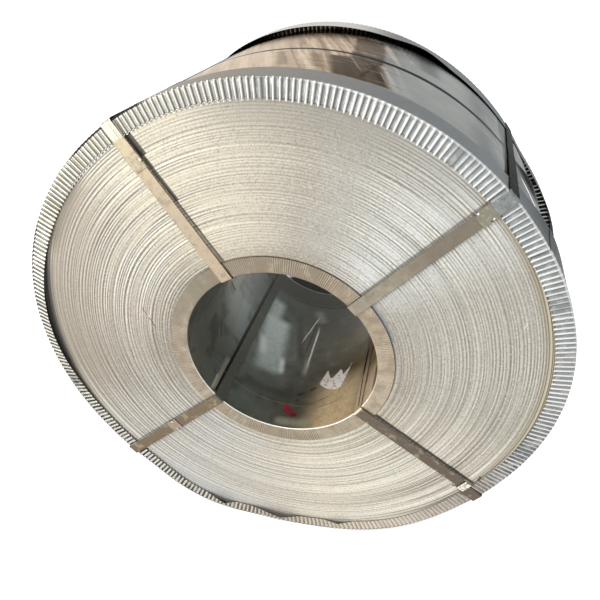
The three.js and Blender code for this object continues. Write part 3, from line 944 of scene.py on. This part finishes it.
def end_marks(at, lines, base):
    """What marks the ends: painted shade by the front ring's edge on the left and beside the
    straps, darker patches on the left and over the top, an olive rim on the right, a paler band low
    on the left, a dark line round the bore ring with a painted bluish reflection beside it on the
    right, a bruise, a scratch, a torn turn, and marks by strap 3, one of them painted shadow. The
    strap shades and the scars stay off the rear end."""
    ring = RING_SKIN - FACE_LEG
    rim = add(at.tree, "MapRange", {0: at.radius, 1: ring - 16, 2: ring + 2})
    rim = add(at.tree, "Math", {0: rim, 1: towards(at, 82, 30, 50)}, operation="MULTIPLY")
    base = stains(
        at, base,
        ("#9D907D", at.radius, 430, 600, 0.5, (-80, 20, 42)),
        ("#9A968B", at.radius, 520, 636, 0.5, (14, 16, 34)),
        # Painted shade under the front ring's lifted face leg on the left, and beside its edge
        # higher up
        ("#54545A", at.radius, ring - 14, ring + 8, 0.6, (-88, 10, 20)),
        ("#857967", at.radius, ring - 34, ring - 4, 0.6, (-57, 5, 13)),
        ("#A89C7E", rim, 0.0, 0.8, 0.5),
        ("#7A6840", lines, 0.48, 0.56, 0.8, rim),
        ("#E6DFCC", lines, 0.49, 0.42, 0.7, rim),
        ("#C3C8C8", at.radius, ring - 60, ring - 6, 0.4, (-158, 8, 24)),
        ("#51473A", at.radius, FLANGE_RADIUS + 3, FLANGE_RADIUS + 1, 0.7),
        # A painted bluish reflection beside the bore ring on the right
        ("#6B7A8C", at.radius, FLANGE_RADIUS + 17, FLANGE_RADIUS + 1, 0.6, (58, 8, 20)),
    )
    front = add(at.tree, "Math", {0: at.y, 1: 0.0}, operation="LESS_THAN")
    plan = add(at.tree, "CombineXYZ", {"X": at.x, "Y": at.z})
    for number, side, share, off, width, tint, most, soft in STRAP_SHADES:
        outer = np.array(on_end(ring, STRAPS[number]["front"]))
        inner = np.array(on_end(FLANGE_RADIUS, STRAPS[number]["bore"]))
        run = unit(outer - inner)
        aside = np.array([run[1], -run[0]]) * side * off
        start, end = (outer + (inner - outer) * x + aside for x in share)
        base = stroke(at, base, plan, tint, start, end, width, soft, 0.02, most, front)
    scars = [(*scar, 0.6, 0.3, 0.85) for scar in END_SCARS]
    return strokes(at, base, plan, on_end, scars, front)


# What lies in the shade of a strap: the strap, the side of it, the shares of its bare run from
# the edge ring inwards, the offset, the width, the colour, the strength and the soft share
STRAP_SHADES = [
    ("1", 1, (0.0, 0.16), 24, 20, "#37332F", 0.9, 0.3),
    ("1", 1, (0.0, 0.5), 20.5, 12, "#37332F", 0.85, 0.3),
    ("1", 1, (0.4, 1.0), 18.5, 6, "#423C36", 0.75, 0.4),
    ("3", -1, (0.0, 1.0), 19, 10, "#37332F", 0.85, 0.3),
    ("2", -1, (0.0, 1.0), 18, 12, "#6A6356", 0.6, 0.9),
    ("4", 1, (0.0, 1.0), 17.5, 3, "#3A342C", 0.7, 0.5),
]
# Colour, start and end as (radius, turn), and width: a bruise, a scratch, a dark mark below
# strap 3 by the ring, painted shadow beside strap 3 where it buckles over the ring, and a torn turn
END_SCARS = [
    ("#5B5142", (384, -74.6), (362, -78.5), 3.5),
    ("#EFE8DA", (366, -76.8), (356, -79.6), 4.0),
    ("#4E4538", (362, -78.5), (349, -81.0), 3.5),
    ("#5B5142", (352, -80.0), (341, -84.0), 3.0),
    ("#F4F0E6", (600, 70.0), (588, 71.8), 3.2),
    ("#3A342B", (617, 126.0), (606, 126.6), 8.0),
    # Painted shadow beside strap 3's buckle
    ("#2B2723", (634, 118.8), (640, 120.8), 8.0),
    ("#5B5142", (430, -96.0), (432, -101.5), 2.5),
]


# The skew of the streaks in the tan painted reflection, off the coil's axis
STREAK_SKEW = math.radians(-16.7)
# Rows for strokes(), with the ends as (y, turn): the tan painted reflection over the top
WRAP_TAN_REFLECTION = [("#CAB59C", (380, -17), (-380, -7.4), 700, 0.28, 0.01, 1.0)]
# Rows for strokes(), with the ends as (y, turn): the brown block of the painted reflection over the
# top with its dark and pale streaks, painted dark reflections about strap 2 with a painted shadow
# line along its left side, and small marks
WRAP_REFLECTIONS_SHADES_AND_MARKS = [
    ("#8A7A68", (-36, -5.7), (-240, -0.6), 34, 0.7, 0.3, 0.55),
    ("#86745F", (-60, 1.6), (-225, 5.2), 44, 0.7, 0.3, 0.5),
    ("#665A4D", (230, 9.8), (20, 11.8), 92, 0.3, 0.2, 0.9),
    ("#544A40", (30, 11.5), (-70, 12.0), 96, 0.3, 0.12, 0.9),
    ("#544A40", (-50, 9.6), (-264, 13.4), 142, 0.3, 0.12, 0.95),
    ("#39332D", (20, 15.4), (-262, 12.2), 15, 0.9, 0.4, 0.6),
    ("#352F29", (-46, 12.2), (-250, 17.6), 20, 0.9, 0.4, 0.6),
    ("#9C9084", (-30, 8.0), (-180, 12.4), 9, 0.8, 0.4, 0.6),
    ("#A79C8F", (-120, 15.2), (-215, 17.6), 7, 0.8, 0.4, 0.6),
    ("#D8D2C8", (-205, 3.0), (-232, 4.4), 12, 0.8, 0.6, 0.7),
    ("#434745", (345, 47.3), (60, 46.2), 46, 0.15, 0.05, 0.9),
    ("#434745", (60, 45.9), (-250, 44.3), 30, 0.15, 0.05, 0.9),
    ("#5D6364", (350, 62.0), (-350, 62.0), 190, 0.2, 0.05, 0.75),
    ("#6E716F", (345, 22.0), (60, 25.0), 90, 0.8, 0.2, 0.7),
    ("#1D2221", (-340, 51.7), (352, 58.8), 143, 0.06, 0.02, 0.9),
    ("#0E0F0E", (-345, 42.4), (330, 49.2), 11, 0.3, 0.05, 0.97),
    ("#1C1A18", (67.5, -1.55), (62.5, -1.55), 5, 0.4, 0.4, 1.0),
    ("#C9CDCE", (120, 20.0), (100, 20.6), 10, 0.8, 0.5, 0.7),
]
# A painted white highlight on the sheet right of strap 2
WRAP_GLINT = [("#FFFFFF", (-94, 49.7), (-190, 57.6), 17, 0.5, 0.5, 1.0)]


def wrapper_sheet():
    """Oiled cold-rolled sheet: smooth and bright grey with bluish clouds. Over the top lie painted
    reflections, tan with streaks and a streaky brown block. A dark line along the lap is painted
    shade with oil; painted shade lies under the rings and along the upper left edge, painted dark
    reflections and a painted shadow line about strap 2, and a painted highlight beyond it."""
    made, tree = finish("oiled_cold_rolled_sheet")
    at = coordinates(tree)
    plan = unrolled(at, *WRAP_PLAN, 2.5)
    drawn = add(tree, "VectorMath", {0: plan, 1: (0.008, 0.09, 0)}, operation="MULTIPLY")
    block_streaks = add(tree, "TexNoise", {"Vector": drawn, "Scale": 1.0, "Detail": 3.0})
    skewed = add(tree, "Mapping", {"Vector": plan, "Rotation": (0, 0, STREAK_SKEW)})
    crossed = add(tree, "VectorMath", {0: skewed, 1: (0.05, 0.0025, 0)}, operation="MULTIPLY")
    reflection_streaks = add(tree, "TexNoise", {"Vector": crossed, "Scale": 1.0, "Detail": 1.0})
    cloud, grain = noises(at, (16.0, 4.0), (240.0, 2.0))
    lap = distance_from(at, at.y, LAP_REAR)
    ends = add(tree, "Math", {0: at.y}, operation="ABSOLUTE")
    base = stains(
        at, colour("#828583"),
        ("#717A7E", cloud, 0.48, 0.66, 0.7),
        ("#9DA09F", cloud, 0.48, 0.32, 0.5),
    )
    base = strokes(at, base, plan, on_wrap, WRAP_TAN_REFLECTION, towards(at, 0, 36, 66))
    base = stains(
        at, base,
        ("#B9BBB8", (26, 3, 13), 0.0, 1.0, 0.45),
        # Streaks and lighter tan of the painted reflection over the upper left
        ("#8F7B66", reflection_streaks, 0.52, 0.62, 0.6, (-12, 22, 34)),
        ("#EFDFC9", reflection_streaks, 0.48, 0.38, 0.6, (-12, 22, 34)),
        ("#E6D3BA", (-14, 4, 13), 0.0, 1.0, 0.6),
    )
    base = strokes(at, base, plan, on_wrap, WRAP_REFLECTIONS_SHADES_AND_MARKS)
    base = stains(
        at, base,
        # Streaks in the brown block of the painted reflection
        ("#5E544A", block_streaks, 0.56, 0.7, 0.5, (8, 8, 16)),
        ("#C8BEB2", block_streaks, 0.42, 0.32, 0.4, (8, 8, 16)),
        ("#5C5B57", grain, 0.55, 0.75, 0.3),
    )
    base = strokes(at, base, plan, on_wrap, WRAP_GLINT)
    base = stains(
        at, base,
        # A dark line along the lap, painted shade with oil, widest over the top and blackest on the
        # upper right; painted shade along the upper left edge and under the rings' side legs
        ("#2B2722", lap, 7, 4, 0.95),
        ("#2B2722", lap, 15, 11, 0.9, (5, 38, 50)),
        ("#060606", lap, 18, 12, 0.95, (36, 16, 26)),
        ("#0F0E0D", (-26.5, 5, 8), 0.0, 1.0, 0.95),
        ("#1B1917", ends, SIDE_LEG_END - 9, SIDE_LEG_END - 3, 0.9),
        ("#12110F", at.y, SIDE_LEG_END - 22, SIDE_LEG_END - 12, 0.95, (48, 18, 26)),
    )
    oiled_surface(tree, base, Metallic=0.85, Roughness=0.26)
    return made


# Rows for strokes(), with the ends as (y, turn): painted reflections of the openings' light as
# pale patches, streaks and glints, painted pools of warm light low on the right near the front,
# and dark streaks and spots
LINER_REFLECTIONS_AND_MARKS = [
    ("#7C8683", (60, -118), (-135, -125), 58, 0.5, 0.3, 0.85),
    ("#0E100F", (-10, -91.5), (10, -104), 12, 0.6, 0.4, 0.95),
    ("#4A504C", (-120, -104), (-190, -115), 15, 0.8, 0.5, 0.8),
    ("#3A3E38", (-100, -82.8), (-300, -83.4), 4, 0.5, 0.1, 0.9),
    ("#A9ACA0", (-200, -128.5), (-354, -129.5), 40, 0.7, 0.3, 0.85),
    ("#D5D1BC", (-290, -126.0), (-356, -127.0), 12, 0.9, 0.3, 0.8),
    ("#98A19C", (215, -143.4), (0, -146.5), 80, 0.8, 0.4, 0.9),
    ("#A9B4B0", (120, -148.5), (-172, -157.0), 124, 0.65, 0.25, 1.0),
    ("#D8E0DC", (0, -142.0), (-110, -150.0), 50, 1.0, 0.7, 0.6),
    ("#E0E5E0", (-60, -163.0), (-156, -167.0), 32, 1.0, 0.7, 0.8),
    ("#33312A", (195, -163.0), (-75, -178.0), 40, 0.9, 0.3, 0.8),
    ("#7D7C70", (240, -176.0), (150, 174.0), 60, 1.0, 0.5, 0.6),
    ("#D9D5C4", (210, 179.4), (20, -172.4), 8, 1.0, 0.5, 0.7),
    ("#E3DFCF", (150, 177.5), (-128, 176.6), 10, 1.0, 0.5, 0.9),
    ("#A8A596", (-30, 178.0), (-145, 176.5), 30, 1.0, 0.7, 0.6),
    ("#24221D", (150, -179.4), (-30, -178.6), 9, 0.8, 0.4, 0.8),
    ("#3A3932", (-232, -142.0), (-222, 178.0), 60, 0.9, 0.2, 0.6),
    ("#FCDDAE", (-110, 141.0), (-480, 146.0), 270, 0.8, 0.6, 1.0),
    ("#B9B6A0", (-335, -172.0), (-335, 160.0), 50, 0.9, 0.4, 0.7),
    ("#F7DAB8", (-170, 112.0), (-470, 112.0), 76, 0.5, 0.6, 1.0),
    ("#121210", (-201, 169.0), (-178, 165.2), 14, 0.8, 0.5, 0.9),
    ("#1E1D19", (-222, 177.4), (-208, 172.4), 12, 0.8, 0.5, 0.9),
    ("#2A2823", (-246, 176.8), (-236, 174.0), 8, 0.7, 0.5, 0.9),
    ("#4A3B2C", (-232, 146.0), (-150, 147.0), 6, 0.8, 0.5, 0.5),
    ("#3E3628", (-262, 170.0), (-226, 152.0), 5, 0.8, 0.3, 0.7),
    ("#3E3628", (-275, 160.0), (-255, 145.0), 4, 0.8, 0.3, 0.7),
]
# The painted black shadow line along the left side of strap 4
STRAP_4_SHADOW_LINE = [("#0B0B0A", (345, STRAPS["4"]["bore"] + 5.0), (-352, STRAPS["4"]["bore"] + 4.4), 11,
               0.2, 0.02, 0.98)]
LINER_TONES = [
    (-180, "#55564A"), (-140, "#677069"), (-118, "#757C75"), (-92, "#94978C"), (-60, "#6E736C"),
    (60, "#5A5648"), (108, "#A08450"), (135, "#705F36"), (155, "#584E36"), (180, "#55564A"),
]


def liner_ground(at, plan):
    """The colour of the bore's skin: green-grey on the left to dry brown on the right, with painted
    reflections of the openings' light as cloudy streaks and patches, painted pools of warm light,
    dark streaks and spots, painted shade deeper in the bore and a painted shadow line by strap 4."""
    cloud, grain, patches = noises(at, (18.0, 4.0), (260.0, 2.0), (55.0, 3.0))
    patchy = add(at.tree, "MapRange", {0: patches, 1: 0.36, 2: 0.54, 3: 0.82, 4: 1.0})
    base = stains(
        at, tones_round(at, LINER_TONES),
        ("#3C3E36", cloud, 0.5, 0.64, 0.5),
        ("#7D7F76", cloud, 0.46, 0.34, 0.3),
        # Painted shade, deeper into the bore
        ("#1E1F13", at.y, -60, 200, 0.64),
        ("#12130B", at.y, 160, 330, 0.6),
    )
    base = strokes(at, base, plan, in_bore, LINER_REFLECTIONS_AND_MARKS, patchy)
    base = strokes(at, base, plan, in_bore, STRAP_4_SHADOW_LINE)
    return stain(at, base, "#3A3932", grain, 0.55, 0.75, 0.4)


def liner_sheet():
    """Dark oiled sheet: a mill finish under oil, with painted reflections and shade, and a painted
    shadow line beside a strap.
    """
    made, tree = finish("dark_oiled_mill_sheet")
    at = coordinates(tree)
    base = liner_ground(at, unrolled(at, *BORE_PLAN, 1.2))
    surface(tree, Base_Color=base, Metallic=0.5, Roughness=0.36)
    return made


# Round the ring: the colour of the pleats' valleys, darkened as painted shade, most low on the
# left, and of their crests, lightened as painted highlights
PLEAT_VALLEY_SHADE = [
    (-180, "#8A7F72"), (-164, "#625A51"), (-150, "#3F3B37"), (-134, "#2A2826"), (-112, "#24211E"),
    (-88, "#4C4942"), (-62, "#7C786A"), (-34, "#AAA696"), (0, "#898986"), (36, "#939696"),
    (62, "#888C8C"), (84, "#939596"), (112, "#66676A"), (126, "#8C857D"), (150, "#BBAF9D"),
    (180, "#8E8376"),
]
PLEAT_CREST_LIGHT = [
    (-180, "#BFB3A2"), (-166, "#CBC4B7"), (-140, "#D2CEC4"), (-110, "#B5B2A6"), (-84, "#EDE9DE"),
    (-55, "#EAE6D5"), (-30, "#DAD7CB"), (0, "#D2D1CB"), (40, "#DCDEDD"), (90, "#F2F2EE"),
    (108, "#DCDBD7"), (124, "#B0A89D"), (152, "#E0D5C6"), (180, "#C8BDAC"),
]
SIDE_LEG_TONES = [
    (-180, "#A09A8E"), (-20, "#A09A8E"), (2, "#94908A"), (20, "#7E8182"), (38, "#7B8184"),
    (58, "#42484A"), (120, "#6A7277"), (180, "#A09A8E"),
]


def pleated_sheet():
    """Galvanised sheet, pleated on a roller: lighter on the crests with painted highlights and
    darker in the valleys with painted shade, with a painted dark line on the lee of each crest.
    Painted shade lies between the pleats' ends at the face leg's edge, along the bend on the left,
    low down, and over the top of the rear ring, and on the sheet's inner skin; painted highlights
    lie on the hem at the upper left, along the bend on the upper right, on the rear ring's side leg
    over the top and on ribs seen through the rear gap. The sheet is browner near the floor."""
    made, tree = finish("pleated_galvanised_sheet")
    at = coordinates(tree)
    crest, lee, on_side, hem, bend, under = tones_at(
        at, "crest", "lee", "side", "hem", "bend", "under")
    cloud, grain = noises(at, (60.0, 3.0), (330.0, 2.0))
    # The crests, a little cloudy, which carry the painted highlight
    rubbed = add(tree, "Math", {0: cloud, 1: 0.3, 2: crest}, operation="MULTIPLY_ADD")
    notch = add(tree, "Math", {0: hem, 1: crest}, operation="MULTIPLY")
    notch = add(tree, "Math", {0: hem, 1: notch}, operation="SUBTRACT")
    rear_edge = add(tree, "Math", {0: bend, 1: at.y}, operation="MULTIPLY")
    lit_ribs = add(tree, "Math", {0: under, 1: crest}, operation="MULTIPLY")
    side = stains(
        at, tones_round(at, SIDE_LEG_TONES),
        ("#8D9294", cloud, 0.5, 0.7, 0.3),
        ("#7F7B73", cloud, 0.46, 0.3, 0.35),
        # Painted highlight on the rear ring's side leg over the top
        ("#D6D5D0", at.y, 0, 10, 0.9, (-14, 16, 30)),
    )
    base = stains(
        at, tones_round(at, PLEAT_VALLEY_SHADE),
        (tones_round(at, PLEAT_CREST_LIGHT), rubbed, 0.5, 0.98),
        ("#C6C6C1", cloud, 0.5, 0.62, 0.35),
        ("#6C6A66", grain, 0.55, 0.72, 0.4),
        # Painted shade on the lee of each crest, and in the gaps between the pleats' ends at the
        # face leg's inner edge
        ("#56544F", lee, 0.35, 0.9, 0.6),
        ("#1E1B18", notch, 0.35, 0.8, 0.9, (-70, 60, 90)),
        ("#4A4843", notch, 0.35, 0.8, 0.5),
        # Painted shade and a painted highlight on the inner hem at the upper left
        ("#5D584F", hem, 0.15, 0.4, 0.8, (-28, 14, 30)),
        ("#FAF9F4", hem, 0.55, 0.8, 1.0, (-28, 14, 30)),
        (side, on_side, 0.5, 0.8),
        # Painted highlight along the bend on the upper right, then painted shade along it on the
        # left, over the top of the rear ring and low down
        ("#E4E6E6", bend, 0.85, 1.0, 0.6, (40, 24, 40)),
        ("#1E1A1E", bend, 0.6, 0.9, 0.95, (-76, 10, 16)),
        ("#1E1A1E", bend, 0.6, 0.9, 0.95, (-34, 8, 12)),
        ("#24211F", rear_edge, 100, 300, 0.95, (-10, 34, 50)),
        ("#3A3733", bend, 0.4, 0.9, 0.8, (-160, 24, 40)),
        ("#4B4F58", bend, 0.4, 0.9, 0.8, (160, 8, 20)),
        # Painted shade on the sheet's inner skin, and painted light on the ribs seen through the
        # rear ring's gap
        ("#23211E", under, 0.4, 0.6, 1.0),
        ("#FFFFFF", lit_ribs, 0.6, 0.9, 1.0, (72, 16, 28)),
        ("#A39380", lit_ribs, 0.6, 0.9, 0.8, (2, 12, 22)),
    )
    oiled_surface(tree, base, Metallic=0.7, Roughness=0.4)
    return made


FLANGE_TONES = [
    (-180, "#9A8E79"), (-130, "#AFA28D"), (-90, "#A59782"), (-50, "#8F8775"), (-20, "#938672"),
    (20, "#918470"), (70, "#B2A38C"), (120, "#C0B19A"), (180, "#9A8E79"),
]
# Rows for strokes(), with the ends as (y, turn)
RED_MARK = [
    ("#8A2633", (-272, -178.0), (-312, 174.0), 34, 0.5, 0.5, 0.95),
    ("#9A2A38", (-266, -179.5), (-284, -176.5), 24, 0.6, 0.5, 0.9),
    ("#5E1C24", (-312, 177.5), (-300, 172.5), 20, 0.7, 0.5, 0.85),
]


def crimped_sheet():
    """Galvanised sheet gone tan with oil and dust, with fine crimps. The leg in the bore takes the
    liner's colour, with its painted reflections and shade, and has a red mark. Painted highlights
    lie along the bend and the leg's free edge at the bottom, and the rear ring is dark all over,
    darkest at its leg's free edge."""
    made, tree = finish("crimped_oil_stained_galvanised_sheet")
    at = coordinates(tree)
    crest, side = tones_at(at, "crest", "side")
    cloud, grain = noises(at, (34.0, 4.0), (300.0, 2.0))
    rear = add(tree, "Math", {0: at.y, 1: 0.0}, operation="GREATER_THAN")
    edge = add(tree, "Math", {0: at.y}, operation="ABSOLUTE")
    edge = add(tree, "Math", {0: edge, 1: SIDE_LEG_END}, operation="SUBTRACT")
    bend = distance_from(at, side, 0.5)
    leg = liner_ground(at, unrolled(at, *BORE_PLAN, 1.5))
    base = stains(
        at, tones_round(at, FLANGE_TONES),
        ("#8A7C68", cloud, 0.48, 0.64, 0.5),
        ("#D0C2AC", cloud, 0.44, 0.32, 0.3),
        ("#6B6152", crest, 0.45, 0.1, 0.4),
        ("#4A4237", crest, 0.45, 0.1, 0.6, (-162, 50, 80)),
        ("#5A5041", crest, 0.4, 0.1, 0.35, (12, 8, 20)),
        ("#DACDB8", crest, 0.6, 1.0, 0.4),
        ("#6F6557", grain, 0.54, 0.72, 0.4),
        (leg, side, 0.6, 0.9),
        ("#2B2D20", rear, 0.0, 1.0, 0.9),
        ("#12120E", edge, 5.0, 2.5, 0.9, rear),
        # Painted highlights along the leg's free edge and the bend at the bottom
        ("#A39C88", edge, 3.0, 1.0, 0.5, (180, 40, 80)),
        ("#FAF4E8", bend, 0.35, 0.12, 0.95, (180, 62, 95)),
    )
    base = strokes(at, base, unrolled(at, *BORE_PLAN, 5), in_bore, RED_MARK)
    surface(tree, Base_Color=base, Metallic=0.5, Roughness=0.45)
    return made


STRAP_TONES = [
    (-180, "#7E6F5B"), (-134, "#7E6F5B"), (-90, "#9C8C78"), (-31, "#C2B198"), (44, "#A09787"),
    (90, "#8E8374"), (123, "#6C6256"), (180, "#7E6F5B"),
]
# Rows for strokes(), with the ends as (y, turn): the painted black shadow line on strap 3 in the
# bore
STRAP_3_SHADOW_LINE = [
    ("#100E0C", (-60, 124.0), (-250, 124.0), 12, 0.4, 0.7, 0.97),
    ("#100E0C", (-230, 123.6), (-350, 121.9), 6, 0.5, 0.1, 0.9),
]


def strap_sheet():
    """Waxed steel strapping: a matt brown-grey, mottled where the wax is rubbed, with dark edges.
    It is grey over the wrappers, and bare zinc or pale dust where it crosses an edge ring."""
    made, tree = finish("waxed_steel_strapping")
    at = coordinates(tree)
    grey, zinc, pale, bore, rim, crest = tones_at(
        at, "grey", "zinc", "pale", "bore", "rim", "crest")
    cloud, grain, scuff = noises(at, (46.0, 4.0), (260.0, 2.0), (70.0, 3.0))
    right = add(tree, "Math", {0: bore, 1: towards(at, 121, 20, 40)}, operation="MULTIPLY")
    far = add(tree, "MapRange", {0: at.y, 1: -120.0, 2: 220.0})
    pleat = add(tree, "Math", {0: crest, 1: pale}, operation="MULTIPLY")
    base = stains(
        at, tones_round(at, STRAP_TONES),
        ("#7D7263", cloud, 0.52, 0.66, 0.4),
        ("#B8AB97", cloud, 0.44, 0.34, 0.5),
        ("#7E7568", at.radius, 330, 520, 0.8, (44, 10, 20)),
        ("#C6B798", at.radius, 500, 640, 0.7, (-32, 8, 16)),
        ("#656B66", bore, 0.3, 0.7, 0.85, (-136, 20, 40)),
        # Painted shade deeper into the bore
        ("#23261F", bore, 0.3, 0.7, 0.5, far),
        ("#8D7A64", right, 0.3, 0.7, 0.7),
        # A painted pool of warm light on strap 3 near the front of the bore
        ("#F7DAB8", at.y, -110, -300, 1.0, right),
    )
    base = strokes(at, base, unrolled(at, *BORE_PLAN, 0), in_bore, STRAP_3_SHADOW_LINE, bore)
    base = stains(
        at, base,
        ("#4A4E4B", grey, 0.3, 0.7),
        ("#CFC9B6", pale, 0.3, 0.7, 0.9),
        ("#EFECDF", pleat, 0.5, 0.9, 0.8),
        ("#8F9492", zinc, 0.3, 0.7),
        ("#C9CECB", scuff, 0.56, 0.68, 0.5, zinc),
        ("#6B6F6C", scuff, 0.45, 0.34, 0.5, zinc),
        ("#665B4D", grain, 0.55, 0.72, 0.35),
        ("#5A5042", rim, 0.5, 1.0, 0.6),
    )
    normal = add(tree, "Bump", {"Height": cloud, "Strength": 0.3, "Distance": 0.001})
    metal = add(tree, "MapRange", {0: grey, 1: 0.3, 2: 0.7, 3: 0.55, 4: 0.92})
    surface(tree, Base_Color=base, Specular_Tint=base, Metallic=metal, Roughness=0.42,
            Normal=normal)
    return made


SEAL_TONES = [
    (-180, "#A08F7B"), (-134, "#A08F7B"), (-90, "#B8AA93"), (-30, "#B4A78E"), (44, "#8B8676"),
    (90, "#D9D2C6"), (124, "#E9E3D8"), (180, "#A08F7B"),
]


def seal_sheet():
    """A pressed steel seal under oil, scuffed bright at its crimps, with painted shade beside them
    and along its inner end.
    """
    made, tree = finish("pressed_steel_seal")
    at = coordinates(tree)
    cloud, = noises(at, (120.0, 3.0))
    bright, dark = tones_at(at, "bright", "dark")
    base = stains(
        at, tones_round(at, SEAL_TONES),
        ("#847A66", cloud, 0.5, 0.62, 0.6),
        ("#D6CDBB", cloud, 0.42, 0.30, 0.3),
        ("#FBFBF8", bright, 0.4, 0.8),
        # Painted shade beside the crimps and along the inner end
        ("#2E2A25", dark, 0.4, 0.8),
    )
    surface(tree, Base_Color=base, Metallic=0.6, Roughness=0.36)
    return made


def torn_paper():
    """Uncoated paper, dusty and creased."""
    made, tree = finish("torn_uncoated_paper")
    at = SimpleNamespace(tree=tree, point=add(tree, "TexCoord", out="Object"))
    cloud, = noises(at, (90.0, 3.0))
    base = stain(at, colour("#F4ECE4"), "#9F8C77", cloud, 0.52, 0.66, 0.8)
    surface(tree, Base_Color=base, Metallic=0.0, Roughness=0.85)
    return made


# ---------------------------------------------------------------- studio

FLOOR_RADIUS = 60.0
FLOOR_CORNERS = 96
# Strengths and shades: of the sky's light, the floor as it is seen and in what it throws back,
# and the floor's own glow
SKY = 0.35
FLOOR_SEEN, FLOOR_BOUNCE, FLOOR_GLOW = 0.85, 0.5, 0.72
# A painted patch of deep shade on the floor close behind the coil: its middle and size in metres
SHADE_AT = (-0.24, 1.09, 0)
SHADE_SIZE = (0.24, 0.15, 1)
# The focal length as a share of the sensor's width, and the eye from the coil's middle
SENSOR = 36
LENS_SHARE = 543.3 / 600
EYE = Vector((0.30135, -1.40145, 0.89475))
HEADING, PITCH = 13.275, 33.396
# Lamps: name, place, the point it faces, size, power, and whether bright metal shows it
LAMPS = [
    ("key", (-6.4, -6.6, 0.35), (0, -0.35, 0.69), 3.2, 541, True),
    ("above", (-2.4, -4.2, 8.0), (0, 0, 0.7), 5.0, 330, True),
    ("behind", (2.5, 8.0, 4.0), (0, 0.3, 0.7), 3.0, 290, False),
]


def camera():
    """The eye stands off the coil's middle and looks down on its front end from the right."""
    data = bpy.data.cameras.new("camera")
    data.sensor_width = SENSOR
    data.lens = SENSOR * LENS_SHARE
    data.clip_end = 200
    obj = bpy.data.objects.new("camera", data)
    turned = Matrix.Rotation(math.radians(HEADING), 4, "Z")
    tilted = Matrix.Rotation(math.radians(90 - PITCH), 4, "X")
    middle = Vector((AXIS_X, MID_Y, AXIS_Z)) * MM
    obj.matrix_world = Matrix.Translation(middle + EYE) @ turned @ tilted
    bpy.context.scene.collection.objects.link(obj)
    bpy.context.scene.camera = obj


def seen_rays(tree):
    """1 on a ray from the camera, a reflection or a transmission, and 0 on others."""
    path = add(tree, "LightPath", out=None).outputs
    seen = add(tree, "Math", {0: path["Is Camera Ray"], 1: path["Is Glossy Ray"]},
               operation="MAXIMUM")
    return add(tree, "Math", {0: seen, 1: path["Is Transmission Ray"]}, operation="MAXIMUM")


def white_world():
    """White where it is seen or reflected, and a soft plain sky where it lights."""
    world = bpy.data.worlds.new("studio")
    bpy.context.scene.world = world
    world.use_nodes = True
    tree = world.node_tree
    tree.nodes.clear()
    strength = add(tree, "MapRange", {0: seen_rays(tree), 3: SKY, 4: 1.0})
    glow = add(tree, "Background", {"Color": (1, 1, 1, 1), "Strength": strength})
    add(tree, "OutputWorld", {"Surface": glow}, out=None)


def floor():
    """A wide round floor. It is white where it is seen, less where light is kept off it, and grey
    in what it throws back. A painted patch of shade close behind the coil takes its colour and
    its glow down."""
    turn = np.linspace(0, 2 * np.pi, FLOOR_CORNERS, endpoint=False)
    rim = np.stack([np.cos(turn), np.sin(turn), 0 * turn], -1) * FLOOR_RADIUS
    mesh = bpy.data.meshes.new("floor")
    mesh.from_pydata(rim.tolist(), [], [list(range(FLOOR_CORNERS))])
    obj = bpy.data.objects.new("floor", mesh)
    bpy.context.scene.collection.objects.link(obj)
    made, tree = finish("pale_floor")
    seen = seen_rays(tree)
    behind = add(tree, "Mapping", {"Vector": add(tree, "TexCoord", out="Object"),
                                   "Location": SHADE_AT, "Scale": SHADE_SIZE},
                 vector_type="TEXTURE")
    behind = add(tree, "VectorMath", {0: behind}, out="Value", operation="LENGTH")
    open_floor = add(tree, "MapRange", {0: behind, 1: 0.6, 2: 1.0, 3: 0.02, 4: 1.0},
                     interpolation_type="SMOOTHSTEP")
    tint = add(tree, "MapRange", {0: seen, 3: FLOOR_BOUNCE, 4: FLOOR_SEEN})
    tint = add(tree, "Math", {0: tint, 1: open_floor}, operation="MULTIPLY")
    plain = add(tree, "BsdfDiffuse", {"Color": tint})
    strength = add(tree, "Math", {0: open_floor, 1: FLOOR_GLOW}, operation="MULTIPLY")
    glow = add(tree, "Emission", {"Color": (1, 1, 1, 1), "Strength": strength})
    lit = add(tree, "AddShader", {0: plain, 1: glow})
    chosen = add(tree, "MixShader", {0: seen, 1: plain, 2: lit})
    add(tree, "OutputMaterial", {"Surface": chosen}, out=None)
    mesh.materials.append(made)


def lamp(name, at, target, size, power, reflected):
    """A square soft lamp that faces a target."""
    data = bpy.data.lights.new(name, "AREA")
    data.size = size
    data.energy = power
    obj = bpy.data.objects.new(name, data)
    obj.location = at
    obj.rotation_euler = (Vector(target) - Vector(at)).to_track_quat("-Z", "Y").to_euler()
    obj.visible_glossy = reflected
    bpy.context.scene.collection.objects.link(obj)


def studio():
    """Plain soft light: a low far lamp at the front left, a wide one above, a fill behind."""
    white_world()
    floor()
    for row in LAMPS:
        lamp(*row)


bpy.context.scene.view_settings.view_transform = "Standard"
camera()
studio()
wound_strip()
wrapper("wrap_rear", REAR_WRAP_SKIN, LAP_FRONT, WRAP_END, lambda y, turn: 0, "outer_wrap_rear")
wrapper("wrap_front", FRONT_WRAP_SKIN, -WRAP_END, LAP_REAR, curled_edge, "outer_wrap_front")
bore_liner()
outer_ring("ring_front", "outer_ring_front", "front", 56, 8, front_leg_lift, FRONT_FLARE,
           FRONT_KNOCKS, 8, FRONT_SEED)
outer_ring("ring_rear", "outer_ring_rear", "rear", 73, 6, np.zeros_like, REAR_FLARE, [], 6,
           REAR_SEED)
inner_ring("bore_ring_front", "inner_ring_front", FRONT, FRONT_CRIMP_SEED)
inner_ring("bore_ring_rear", "inner_ring_rear", REAR, REAR_CRIMP_SEED)
for number, strap_data in STRAPS.items():
    strap(number, strap_data)
    seal(number, strap_data)
paper_scrap()
